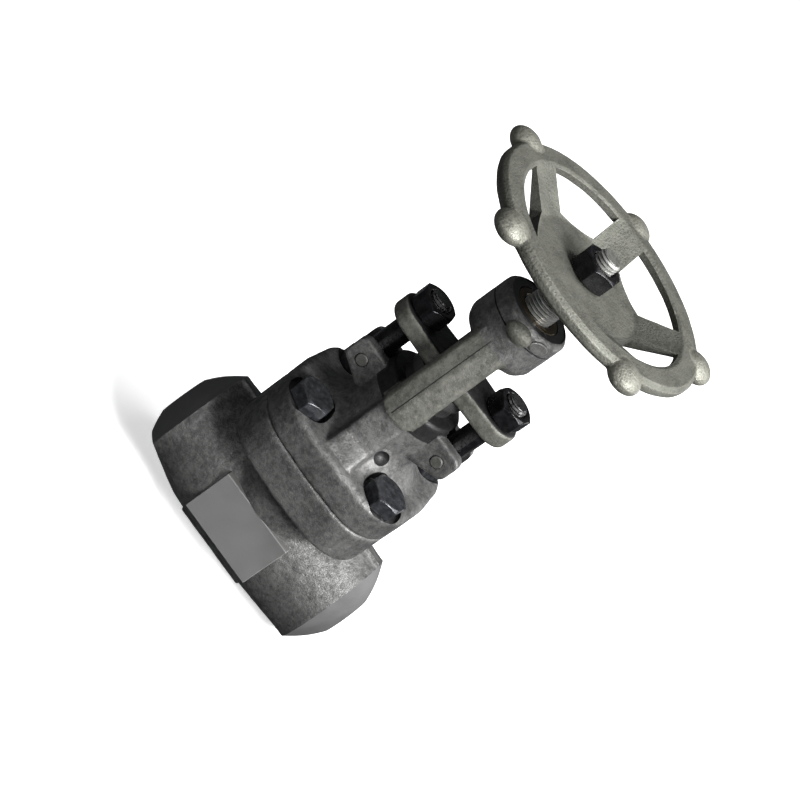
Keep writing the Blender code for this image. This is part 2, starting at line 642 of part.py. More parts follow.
def make_bonnet():
    """Forge the bonnet with its yoke in one piece, then machine it."""
    flange = plate("bonnet_flange", flange_outline(), BONNET_FACE, BONNET_FLANGE_TOP)
    round_edges(flange, FLANGE_ROUNDING, 3)
    waist = BONNET_FLANGE_TOP + NECK_FILLET_HEIGHT
    fillet = [(NECK_ROOT_RADIUS - (NECK_ROOT_RADIUS - NECK_RADIUS) * sin(0.5 * pi * part),
               waist - NECK_FILLET_HEIGHT * cos(0.5 * pi * part))
              for part in (1.0, 0.8, 0.6, 0.4, 0.2, 0.0)]
    neck = turned("neck", [(0.0, NECK_TOP), (NECK_RADIUS - END_CHAMFER, NECK_TOP),
                           (NECK_RADIUS, NECK_TOP - END_CHAMFER)] + fillet
                  + [(NECK_ROOT_RADIUS, BONNET_FACE + NECK_ROOT_LAP), (0.0, BONNET_FACE + NECK_ROOT_LAP)],
                  FINE)
    tongue = cylinder("tongue", RECESS_RADIUS - RUNNING, TONGUE_BOTTOM, BONNET_FACE + 2.0 * PAST,
                      FINE)
    hub = turned("hub", [(0.0, HUB_TOP), (HUB_RADIUS - SMALL_CHAMFER, HUB_TOP),
                         (HUB_RADIUS, HUB_TOP - SMALL_CHAMFER),
                         (HUB_RADIUS, HUB_GROOVE_HEIGHT + HUB_GROOVE),
                         (HUB_RADIUS - HUB_GROOVE, HUB_GROOVE_HEIGHT),
                         (HUB_RADIUS, HUB_GROOVE_HEIGHT - HUB_GROOVE),
                         (HUB_RADIUS, HUB_BOTTOM + HUB_ROUND_HEIGHT),
                         (HUB_RADIUS - 0.3 * HUB_ROUND_HEIGHT, HUB_BOTTOM + 0.4 * HUB_ROUND_HEIGHT),
                         (HUB_RADIUS - HUB_ROUND_HEIGHT, HUB_BOTTOM), (0.0, HUB_BOTTOM)], FINE)
    join(flange, neck, tongue)
    upright = Matrix.Rotation(0.5 * pi, 4, "X")
    for side, name in ((-1, "left"), (1, "right")):
        lug = plate(f"lug_{name}", lug_outline(side), -0.5 * LUG_WIDTH, 0.5 * LUG_WIDTH, upright)
        round_edges(lug, LUG_ROUNDING)
        join(flange, lug)
    join(flange, make_rib(0, 0.0), make_rib(1, pi), make_arm(0, 0.0), make_arm(1, pi), hub,
         make_hub_boss())

    bore = turned("bonnet_bore", [(0.0, NECK_TOP + PAST), (BOX_RADIUS, NECK_TOP + PAST),
                                  (BOX_RADIUS, BOX_FLOOR), (STEM_BORE_RADIUS, BOX_FLOOR),
                                  (STEM_BORE_RADIUS, BACKSEAT_TOP + GAP),
                                  (BACKSEAT_RADIUS + GAP, BACKSEAT_TOP + GAP),
                                  (BACKSEAT_RADIUS + GAP, TONGUE_BOTTOM - PAST),
                                  (0.0, TONGUE_BOTTOM - PAST)])
    hub_bore = cylinder("hub_bore", BUSHING_RADIUS + GAP, HUB_BOTTOM - PAST,
                        HUB_TOP + PAST)
    pin_hole = set_pin_rod("set_pin_hole", SET_PIN_RADIUS + GAP, BUSHING_RADIUS - GAP,
                           HUB_RADIUS + 2.0 * PAST)
    cut(flange, bore, hub_bore, pin_hole)
    for number, centre in enumerate(quarter_turns()):
        pocket = cylinder(f"pocket_{number}", POCKET_RADIUS, POCKET_FLOOR,
                          BONNET_FLANGE_TOP + NECK_FILLET_HEIGHT + POCKET_REACH, MEDIUM, centre)
        hole = cylinder(f"bolt_clearance_{number}", BOLT_RADIUS + RUNNING,
                        BONNET_FACE - PAST, POCKET_FLOOR + PAST, COARSE, centre)
        cut(flange, pocket, hole)
    for side, name in ((-1, "left"), (1, "right")):
        slot_half = 0.5 * EYE_WIDTH + GAP
        inner = EYE_OFFSET - EYE_RADIUS - 2.0 * GAP
        low, high = sorted((side * inner, side * (EYE_OFFSET + 2.0 * LUG_REACH)))
        slot = box(f"slot_{name}", (low, -slot_half, EYE_HEIGHT - EYE_RADIUS - 2.0 * GAP),
                   (high, slot_half, EYE_HEIGHT + 2.0 * LUG_ABOVE))
        pin_hole = rod(f"pin_hole_{name}", PIN_RADIUS + GAP,
                       (side * EYE_OFFSET, -LUG_WIDTH, EYE_HEIGHT),
                       (side * EYE_OFFSET, LUG_WIDTH, EYE_HEIGHT), COARSE)
        cut(flange, slot, pin_hole)
    return finish(flange, "bonnet", FORGED)


def make_bonnet_bolts():
    """Make the four cap screws that clamp the bonnet."""
    shared = None
    for number, (x, y) in enumerate(quarter_turns()):
        name = f"bonnet_bolt_{number + 1}"
        if shared is None:
            head = plate("bolt_head", hexagon(BOLT_HEAD_FLATS), GAP, GAP + BOLT_HEAD_HEIGHT)
            shank = cylinder("bolt_shank", BOLT_RADIUS,
                             -BONNET_FLANGE_THICKNESS - BOLT_GRIP_BELOW, 2.0 * PAST, COARSE)
            crown = turned("bolt_crown", [(0.0, GAP + BOLT_HEAD_HEIGHT),
                                          (0.47 * BOLT_HEAD_FLATS, GAP + BOLT_HEAD_HEIGHT),
                                          (0.6 * BOLT_HEAD_FLATS, BOLT_HEAD_HEIGHT - END_CHAMFER),
                                          (0.6 * BOLT_HEAD_FLATS, -PAST), (0.0, -PAST)],
                           24)
            combine(head, crown, "INTERSECT")
            join(head, shank)
            for tool in (crown, shank):
                tool.matrix_world = Matrix.Identity(4)
            shared = baked(head)
        bolt = mesh_object(name, shared.copy(), Matrix.Translation((x, y, POCKET_FLOOR)))
        finish(bolt, name, BLACK)


def baked(thing):
    """Return the finished mesh of a piece with its modifiers, and remove the piece."""
    bpy.context.view_layer.update()
    graph = bpy.context.evaluated_depsgraph_get()
    mesh = bpy.data.meshes.new_from_object(thing.evaluated_get(graph))
    bpy.data.objects.remove(thing, do_unlink=True)
    return mesh


def make_backseat_bush():
    """Turn the bush that the stem collar seals against when the valve is fully open."""
    outer = BACKSEAT_RADIUS
    mouth = BACKSEAT_LINE - BACKSEAT_BOTTOM
    bush = turned("backseat", [(STEM_BORE_RADIUS, BACKSEAT_TOP), (outer, BACKSEAT_TOP),
                               (outer, BACKSEAT_BOTTOM), (mouth, BACKSEAT_BOTTOM),
                               (STEM_BORE_RADIUS, BACKSEAT_LINE - STEM_BORE_RADIUS)])
    return finish(bush, "backseat_bush", BRIGHT)


def make_packing():
    """Make the packing rings, one above the other in the stuffing box."""
    inner = STEM_BORE_RADIUS
    outer = inner + PACKING_RADIAL_WIDTH
    for number in range(PACKING_RINGS):
        low = BOX_FLOOR + GAP + number * (PACKING_RING_HEIGHT + GAP)
        high = low + PACKING_RING_HEIGHT
        ring = turned(f"ring_{number}", [(outer, high), (outer, low), (inner, low),
                                         (inner, high)])
        finish(ring, f"packing_ring_{number + 1}", GRAPHITE)


def make_gland_follower():
    """Turn the sleeve that presses on the packing."""
    inner = STEM_BORE_RADIUS
    collar_bottom = FOLLOWER_TOP - FOLLOWER_COLLAR_HEIGHT
    sleeve = turned("follower", [(inner, FOLLOWER_TOP), (FOLLOWER_COLLAR_RADIUS, FOLLOWER_TOP),
                                 (FOLLOWER_COLLAR_RADIUS, collar_bottom),
                                 (FOLLOWER_RADIUS, collar_bottom),
                                 (FOLLOWER_RADIUS, FOLLOWER_BOTTOM), (inner, FOLLOWER_BOTTOM)])
    return finish(sleeve, "gland_follower", BRIGHT)


def gland_outline():
    """Return the gland flange's outline: two round ears and a waist round the stem."""
    ear = GLAND_FLANGE_EAR_RADIUS
    waist = GLAND_FLANGE_WAIST
    lean = atan2(waist - ear, EYE_OFFSET)
    right = arc((EYE_OFFSET, 0.0), ear, -0.5 * pi + lean, 0.5 * pi - lean)
    top = arc((0.0, 0.0), waist, 0.5 * pi - lean, 0.5 * pi + lean)
    left = arc((-EYE_OFFSET, 0.0), ear, 0.5 * pi + lean, 1.5 * pi - lean)
    bottom = arc((0.0, 0.0), waist, 1.5 * pi - lean, 1.5 * pi + lean)
    return right + top + left + bottom


def make_gland_flange():
    """Make the two-eared plate that the gland nuts pull down."""
    ears = plate("gland_plate", gland_outline(), GLAND_FLANGE_BOTTOM, GLAND_FLANGE_TOP)
    round_edges(ears, GLAND_ROUNDING)
    stem_hole = cylinder("gland_stem_hole", STEM_BORE_RADIUS + GLAND_BORE_CLEARANCE,
                         GLAND_FLANGE_BOTTOM - PAST, GLAND_FLANGE_TOP + PAST)
    cut(ears, stem_hole)
    for side, name in ((-1, "left"), (1, "right")):
        cut(ears, cylinder(f"ear_hole_{name}", EYEBOLT_RADIUS + RUNNING,
                           GLAND_FLANGE_BOTTOM - PAST, GLAND_FLANGE_TOP + PAST, MEDIUM,
                           (side * EYE_OFFSET, 0.0)))
    return finish(ears, "gland_flange", FORGED)


def make_gland_bolting():
    """Make each side's eyebolt, its pin in the clevis and its nut."""
    for side, name in ((-1, "left"), (1, "right")):
        x = side * EYE_OFFSET
        eye = rod(f"eye_{name}", EYE_RADIUS, (x, -0.5 * EYE_WIDTH, EYE_HEIGHT),
                  (x, 0.5 * EYE_WIDTH, EYE_HEIGHT), MEDIUM)
        shank = turned(f"eye_shank_{name}",
                       [(0.0, EYEBOLT_TOP), (EYEBOLT_RADIUS - END_CHAMFER, EYEBOLT_TOP),
                        (EYEBOLT_RADIUS, EYEBOLT_TOP - END_CHAMFER),
                        (EYEBOLT_RADIUS, EYE_HEIGHT + PIN_RADIUS + PAST),
                        (0.0, EYE_HEIGHT + PIN_RADIUS + PAST)], COARSE)
        shank.matrix_world = Matrix.Translation((x, 0.0, 0.0))
        pin_hole = rod(f"eye_hole_{name}", PIN_RADIUS + GAP, (x, -EYE_WIDTH, EYE_HEIGHT),
                       (x, EYE_WIDTH, EYE_HEIGHT), COARSE)
        join(eye, shank)
        cut(eye, pin_hole)
        finish(eye, f"eyebolt_{name}", BLACK)

        pin = rod(f"pin_{name}", PIN_RADIUS, (x, -0.5 * PIN_LENGTH, EYE_HEIGHT),
                  (x, 0.5 * PIN_LENGTH, EYE_HEIGHT), COARSE)
        finish(pin, f"eyebolt_pin_{name}", BRIGHT)

        nut = hex_nut(f"gland_nut_{name}", GLAND_NUT_FLATS, GLAND_NUT_HEIGHT,
                      EYEBOLT_RADIUS + RUNNING)
        nut.matrix_world = Matrix.Translation((x, 0.0, GLAND_NUT_BOTTOM))
        finish(nut, f"gland_nut_{name}", BLACK)


def hex_nut(name, flats, height, bore):
    """Return a chamfered hexagon nut standing on its origin."""
    blank = plate(name + "_blank", hexagon(flats), 0.0, height)
    crown = turned(name + "_crown", [(0.0, height), (0.47 * flats, height),
                                     (0.6 * flats, height - NUT_CHAMFER),
                                     (0.6 * flats, NUT_CHAMFER), (0.47 * flats, 0.0), (0.0, 0.0)],
                   24)
    combine(blank, crown, "INTERSECT")
    cut(blank, cylinder(name + "_bore", bore, -PAST, height + PAST, COARSE))
    return mesh_object(name, baked(blank))


def make_yoke_bushing():
    """Turn the threaded bushing in the hub that the stem screws through."""
    inner = STEM_BORE_RADIUS
    bushing = turned("bushing", [(inner, HUB_TOP), (BUSHING_RADIUS, HUB_TOP),
                                 (BUSHING_RADIUS, HUB_BOTTOM), (inner, HUB_BOTTOM)])
    return finish(bushing, "yoke_bushing", BRONZE)


def set_pin_rod(name, radius, inner, outer):
    """Return a rod between two radii on the line of the bushing's set pin."""
    way = Vector((cos(SET_PIN_TURN), sin(SET_PIN_TURN), 0.0))
    level = Vector((0.0, 0.0, SET_PIN_HEIGHT))
    return rod(name, radius, level + way * inner, level + way * outer, COARSE)


def make_set_pin():
    """Make the pin that locks the bushing in the hub."""
    pin = set_pin_rod("pin_body", SET_PIN_RADIUS, BUSHING_RADIUS + GAP,
                      HUB_RADIUS + SET_PIN_PROUD)
    return finish(pin, "bushing_pin", BLACK)


def make_stem():
    """Turn the stem: button, neck, backseat collar, shank, square and threaded stub."""
    collar_cone = STEM_COLLAR_RADIUS - STEM_RADIUS
    shank = turned("stem_turned",
                   [(0.0, STEM_SHOULDER), (STEM_RADIUS - SMALL_CHAMFER, STEM_SHOULDER),
                    (STEM_RADIUS, STEM_SHOULDER - SMALL_CHAMFER),
                    (STEM_RADIUS, COLLAR_TOP + collar_cone), (STEM_COLLAR_RADIUS, COLLAR_TOP),
                    (STEM_COLLAR_RADIUS, COLLAR_BOTTOM), (STEM_NECK_RADIUS, COLLAR_BOTTOM),
                    (STEM_NECK_RADIUS, BUTTON_TOP), (STEM_BUTTON_RADIUS, BUTTON_TOP),
                    (STEM_BUTTON_RADIUS, BUTTON_BOTTOM), (0.0, BUTTON_BOTTOM)])
    half = 0.5 * STEM_SQUARE
    square = box("stem_square", (-half, -half, STEM_SHOULDER - PAST),
                 (half, half, WHEEL_PLATE_TOP - SQUARE_DROP), rounding=SQUARE_ROUNDING)
    stub = turned("stem_stub", [(0.0, STEM_TOP), (STEM_STUB_RADIUS - SMALL_CHAMFER, STEM_TOP),
                                (STEM_STUB_RADIUS, STEM_TOP - SMALL_CHAMFER),
                                (STEM_STUB_RADIUS, STEM_SHOULDER), (0.0, STEM_SHOULDER)], COARSE)
    join(shank, square, stub)
    return finish(shank, "stem", BRIGHT)


def make_disc():
    """Turn the plug disc with the socket that holds the stem button."""
    shoulder = DISC_BOTTOM + DISC_NOSE
    disc = turned("disc_turned", [(DISC_CAVITY_RADIUS, DISC_TOP), (DISC_RADIUS - END_CHAMFER, DISC_TOP),
                                  (DISC_RADIUS, DISC_TOP - END_CHAMFER), (DISC_RADIUS, shoulder),
                                  (DISC_NOSE_RADIUS + DISC_NOSE, shoulder),
                                  (DISC_NOSE_RADIUS, DISC_BOTTOM), (0.0, DISC_BOTTOM),
                                  (0.0, DISC_CAVITY_FLOOR),
                                  (DISC_CAVITY_RADIUS, DISC_CAVITY_FLOOR)])
    return finish(disc, "disc", BRIGHT)


def make_retainer():
    """Turn the ring nut that keeps the stem button in the disc."""
    outer = DISC_CAVITY_RADIUS - GAP
    inner = STEM_NECK_RADIUS + RUNNING
    ring = turned("retainer", [(inner, RETAINER_TOP), (outer, RETAINER_TOP),
                               (outer, RETAINER_BOTTOM), (inner, RETAINER_BOTTOM)])
    return finish(ring, "disc_retainer", BRIGHT)


def window_outline():
    """Return one opening between two spokes, seen from above, centred on +X."""
    half_spoke = 0.5 * WHEEL_SPOKE_WIDTH
    half_sector = pi / WHEEL_LOBES
    rounding = WINDOW_ROUNDING
    inner = WHEEL_PLATE_RADIUS
    outer = WHEEL_RIM_RADIUS - 0.5 * WHEEL_RIM_WIDTH + WINDOW_RIM_BITE
    inner_turn = half_sector - (half_spoke + rounding) / inner
    outer_turn = half_sector - (half_spoke + rounding) / outer
    return (arc((0.0, 0.0), outer, -outer_turn, outer_turn)
            + [(inner * cos(inner_turn), inner * sin(inner_turn)),
               (inner * cos(inner_turn), -inner * sin(inner_turn))])


def make_handwheel():
    """Cast the dished handwheel: plate, five spokes, rim and five finger lobes."""
    plate_top = WHEEL_PLATE_TOP
    plate_low = plate_top - WHEEL_PLATE_THICKNESS
    inner = WHEEL_RIM_RADIUS - 0.5 * WHEEL_RIM_WIDTH
    outer = WHEEL_RIM_RADIUS + 0.5 * WHEEL_RIM_WIDTH
    edge = RIM_CHAMFER
    dish = turned("wheel_dish",
                  [(0.0, plate_top), (WHEEL_PLATE_RADIUS - PLATE_EDGE_INSET, plate_top),
                   (inner - RIM_EDGE_OUTSET, RIM_TOP - edge), (inner + edge, RIM_TOP),
                   (outer - edge, RIM_TOP), (outer, RIM_TOP - edge), (outer, RIM_BOTTOM + edge),
                   (outer - edge, RIM_BOTTOM), (inner + edge, RIM_BOTTOM),
                   (WHEEL_PLATE_RADIUS, plate_low), (WHEEL_BOSS_RADIUS + BOSS_CHAMFER, plate_low),
                   (WHEEL_BOSS_RADIUS, plate_low - BOSS_CHAMFER), (WHEEL_BOSS_RADIUS, WHEEL_BOTTOM),
                   (0.0, WHEEL_BOTTOM)], WHEEL_STEPS)
    sector = 2.0 * pi / WHEEL_LOBES
    for number in range(WHEEL_LOBES):
        turn = number * sector
        lobe = bpy.data.meshes.new(f"lobe_{number}")
        builder = bmesh.new()
        bmesh.ops.create_uvsphere(builder, u_segments=14, v_segments=8,
                                  radius=WHEEL_LOBE_RADIUS)
        bmesh.ops.scale(builder, vec=(1.0, 1.0, 0.5 * WHEEL_LOBE_HEIGHT / WHEEL_LOBE_RADIUS),
                        verts=builder.verts)
        builder.to_mesh(lobe)
        builder.free()
        middle = 0.5 * (RIM_TOP + RIM_BOTTOM)
        place = (Matrix.Rotation(turn, 4, "Z")
                 @ Matrix.Translation((0.0, WHEEL_LOBE_CENTRE, middle)))
        join(dish, mesh_object(f"wheel_lobe_{number}", lobe, place))
    for number in range(WHEEL_LOBES):
        turn = (number + 0.5) * sector + 0.5 * pi
        window = plate(f"wheel_window_{number}", window_outline(), WHEEL_BOTTOM - 5.0 * PAST,
                       RIM_TOP + 10.0 * PAST, Matrix.Rotation(turn, 4, "Z"))
        cut(dish, window)
    half = 0.5 * STEM_SQUARE + GAP
    square = box("wheel_square", (-half, -half, WHEEL_BOTTOM - PAST),
                 (half, half, WHEEL_PLATE_TOP + PAST), rounding=SQUARE_ROUNDING)
    cut(dish, square)
    whole = mesh_object("handwheel", baked(dish), Matrix.Rotation(WHEEL_TURN, 4, "Z"))
    return finish(whole, "handwheel", CAST)


def make_wheel_nut():
    """Make the nut that holds the handwheel on the stem."""
    nut = hex_nut("handwheel_nut", WHEEL_NUT_FLATS, WHEEL_NUT_HEIGHT,
                  STEM_STUB_RADIUS + RUNNING)
    nut.matrix_world = Matrix.Translation((0.0, 0.0, WHEEL_NUT_BOTTOM))
    return finish(nut, "handwheel_nut", BLACK)


def make_root():
    """Lift every piece so that the body's flat lies at Z = 0."""
    root = bpy.data.objects.new("valve_frame", None)
    root.location = (0.0, 0.0, BODY_BOTTOM)
    VALVE.objects.link(root)
    for collection in (VALVE, CUTTERS):
        for thing in collection.objects:
            if thing is not root:
                thing.parent = root
    return root


make_body()
make_gasket()
make_seat_ring()
make_bonnet()
make_bonnet_bolts()
make_backseat_bush()
make_packing()
make_gland_follower()
make_gland_flange()
make_gland_bolting()
make_yoke_bushing()
make_set_pin()
make_stem()
make_disc()
make_retainer()
make_handwheel()
make_wheel_nut()
make_root()
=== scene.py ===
"""Looks of the forged globe valve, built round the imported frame.

The heights in the classes below are measured from the pipe axis, as on a drawing of the
valve. Settling a piece lifts it so that the flat under the body lies at Z = 0.
"""

import logging
from collections.abc import Callable, Iterable, Sequence
from dataclasses import dataclass
from enum import Enum
from math import atan2, cos, hypot, pi, radians, sin, tau

import bpy
from mathutils import Matrix, Vector, noise

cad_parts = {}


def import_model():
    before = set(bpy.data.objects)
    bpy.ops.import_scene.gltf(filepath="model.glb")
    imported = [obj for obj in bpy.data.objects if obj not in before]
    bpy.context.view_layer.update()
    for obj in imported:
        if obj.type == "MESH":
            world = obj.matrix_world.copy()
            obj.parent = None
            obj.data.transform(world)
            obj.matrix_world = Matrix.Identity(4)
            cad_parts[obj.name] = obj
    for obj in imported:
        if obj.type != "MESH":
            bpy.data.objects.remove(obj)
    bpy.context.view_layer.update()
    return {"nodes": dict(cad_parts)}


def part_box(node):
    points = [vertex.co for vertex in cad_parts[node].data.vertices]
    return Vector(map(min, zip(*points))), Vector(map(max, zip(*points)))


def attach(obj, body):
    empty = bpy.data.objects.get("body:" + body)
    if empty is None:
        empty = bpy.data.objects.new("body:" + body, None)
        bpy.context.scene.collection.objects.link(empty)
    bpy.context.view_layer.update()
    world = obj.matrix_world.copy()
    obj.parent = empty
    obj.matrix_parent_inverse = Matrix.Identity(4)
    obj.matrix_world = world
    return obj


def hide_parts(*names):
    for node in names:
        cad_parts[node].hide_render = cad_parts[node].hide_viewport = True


log = logging.getLogger("valve")

Colour = tuple[float, float, float]
Point2 = tuple[float, float]
Point3 = tuple[float, float, float]

MM = 0.001
AXIS_HEIGHT = 27.6 * MM
GAP = 0.3 * MM
PAST = 2.0 * MM          # of a cutter past the face that it opens
NEAR_AXIS = 0.2 * MM     # stands for the axis in a turned outline
SIDES = (("left", -1), ("right", 1))


class Grain(Enum):
    """How a surface was made, which sets the pattern of its finish."""

    FORGED = "forged"
    CAST = "cast"
    TURNED = "turned"
    BLACKED = "blacked"
    PRESSED = "pressed"


@dataclass(frozen=True)
class Finish:
    """One finish: its colours, gloss and the size and depth of its grain."""

    name: str
    slot: str
    grain: Grain
    dark: Colour
    light: Colour
    worn: Colour
    rough: Point2
    metallic: float
    grain_size: float
    depth: float


FORGED = Finish("forged_phosphate", "forged_steel", Grain.FORGED, (0.052, 0.052, 0.051),
                (0.164, 0.163, 0.159), (0.30, 0.30, 0.29), (0.36, 0.58), 0.50, 1.1 * MM,
                0.12 * MM)
OLIVE = Finish("forged_olive", "forged_steel", Grain.FORGED, (0.058, 0.058, 0.050),
               (0.150, 0.150, 0.132), (0.30, 0.30, 0.27), (0.45, 0.66), 0.40, 0.9 * MM,
               0.10 * MM)
FACED = Finish("faced_steel", "forged_steel", Grain.TURNED, (0.150, 0.147, 0.145),
               (0.180, 0.176, 0.173), (0.24, 0.24, 0.24), (0.50, 0.60), 0.35, 0.8 * MM,
               0.01 * MM)
BORED = Finish("bored_steel", "forged_steel", Grain.TURNED, (0.028, 0.028, 0.030),
               (0.060, 0.060, 0.060), (0.20, 0.20, 0.20), (0.35, 0.50), 0.7, 0.6 * MM,
               0.02 * MM)
CAST = Finish("cast_wheel_grey", "cast_wheel", Grain.CAST, (0.062, 0.063, 0.052),
              (0.140, 0.141, 0.121), (0.38, 0.37, 0.33), (0.38, 0.56), 0.45, 0.7 * MM,
              0.16 * MM)
# Lighter copy of the cast finish for the lobes: painted highlight where they face the lamps.
LIT_LOBES = Finish("cast_lobes_painted_highlight", "cast_wheel", Grain.CAST, (0.095, 0.095, 0.080),
               (0.235, 0.233, 0.200), (0.55, 0.54, 0.48), (0.32, 0.50), 0.50, 0.7 * MM,
               0.14 * MM)
WINDOW = Finish("cast_window_wall", "cast_wheel", Grain.PRESSED, (0.050, 0.050, 0.044),
                (0.130, 0.130, 0.112), (0.27, 0.27, 0.24), (0.45, 0.60), 0.40, 0.9 * MM,
                0.08 * MM)
# Near-black forging: painted shade, laid on the neck round the packing, on the gland plate's top
# and in the punched dimples.
SHADE_FORGED = Finish("painted_shade_forging", "forged_steel", Grain.FORGED, (0.012, 0.012, 0.013),
               (0.034, 0.033, 0.034), (0.10, 0.10, 0.10), (0.34, 0.50), 0.50, 0.9 * MM,
               0.08 * MM)
# Faced steel made darker for the weld bevels: painted shade on the cones that face the key lamp.
BEVEL = Finish("weld_bevel_painted_shade", "forged_steel", Grain.TURNED, (0.098, 0.097, 0.098),
               (0.124, 0.122, 0.124), (0.124, 0.122, 0.124), (0.50, 0.60), 0.35, 0.8 * MM,
               0.01 * MM)
# Lighter copy of the black oxide for the cap screws: painted reflection on their flats.
SCREW = Finish("screw_painted_reflection", "black_fasteners", Grain.BLACKED, (0.030, 0.031, 0.034),
               (0.062, 0.064, 0.070), (0.34, 0.34, 0.35), (0.16, 0.28), 0.55, 2.4 * MM,
               0.008 * MM)
POLISHED = Finish("polished_thread", "bright_steel", Grain.TURNED, (0.36, 0.36, 0.34),
                  (0.58, 0.58, 0.56), (0.75, 0.75, 0.73), (0.32, 0.44), 0.85, 9.0 * MM,
                  0.001 * MM)
BLACK = Finish("black_oxide_oiled", "black_fasteners", Grain.BLACKED, (0.009, 0.009, 0.010),
               (0.020, 0.020, 0.022), (0.24, 0.24, 0.24), (0.18, 0.30), 0.65, 3.0 * MM,
               0.008 * MM)
BRIGHT = Finish("turned_stainless", "bright_steel", Grain.TURNED, (0.22, 0.22, 0.21),
                (0.40, 0.40, 0.38), (0.60, 0.60, 0.58), (0.34, 0.50), 0.80, 0.35 * MM,
                0.01 * MM)
# Near-black steel: painted shade in the thread roots and on the gland follower seen in the gap
# under the gland plate.
SHADE_STEEL = Finish("painted_shade_steel", "bright_steel", Grain.TURNED, (0.016, 0.016, 0.016),
               (0.038, 0.037, 0.035), (0.10, 0.10, 0.10), (0.40, 0.55), 0.5, 0.6 * MM,
               0.01 * MM)
PIN_END = Finish("peened_pin", "black_fasteners", Grain.FORGED, (0.075, 0.075, 0.072),
                 (0.165, 0.164, 0.158), (0.30, 0.30, 0.29), (0.36, 0.55), 0.5, 0.9 * MM,
                 0.06 * MM)
DULL_PIN = Finish("dull_pin_steel", "bright_steel", Grain.FORGED, (0.070, 0.070, 0.064),
                  (0.150, 0.150, 0.138), (0.32, 0.32, 0.30), (0.40, 0.55), 0.6, 0.9 * MM,
                  0.05 * MM)
GRAPHITE = Finish("pressed_graphite", "graphite", Grain.PRESSED, (0.018, 0.018, 0.020),
                  (0.06, 0.06, 0.065), (0.12, 0.12, 0.13), (0.40, 0.60), 0.3, 0.7 * MM,
                  0.05 * MM)
# Bronze made much darker than bare bronze.
BRONZE = Finish("dark_bronze", "bushing_bronze", Grain.TURNED, (0.040, 0.032, 0.020),
                (0.085, 0.066, 0.040), (0.30, 0.23, 0.13), (0.28, 0.45), 0.9, 0.4 * MM,
                0.015 * MM)


class Value:
    """A shader value that takes part in Python sums and products."""

    def __init__(self, look: "Look", socket: bpy.types.NodeSocket) -> None:
        """Wrap one output socket of a look's nodes."""
        self.look = look
        self.socket = socket

    def __add__(self, other: "Value | float") -> "Value":
        """Return the sum."""
        return self.look.maths("ADD", self, other)

    def __rsub__(self, other: float) -> "Value":
        """Return the difference from a number."""
        return self.look.maths("SUBTRACT", other, self)

    def __mul__(self, other: "Value | float") -> "Value":
        """Return the product."""
        return self.look.maths("MULTIPLY", self, other)

    __radd__ = __add__
    __rmul__ = __mul__

    def step(self, low: float, high: float) -> "Value":
        """Turn the value into a smooth step.

        Args:
            low: Below this value the step is 0.
            high: Above this value it is 1.

        Returns:
            The step.
        """
        settings = {"interpolation_type": "SMOOTHSTEP"}
        node = self.look.node("ShaderNodeMapRange", settings,
                              {"Value": self, "From Min": low, "From Max": high})
        return Value(self.look, node.outputs["Result"])


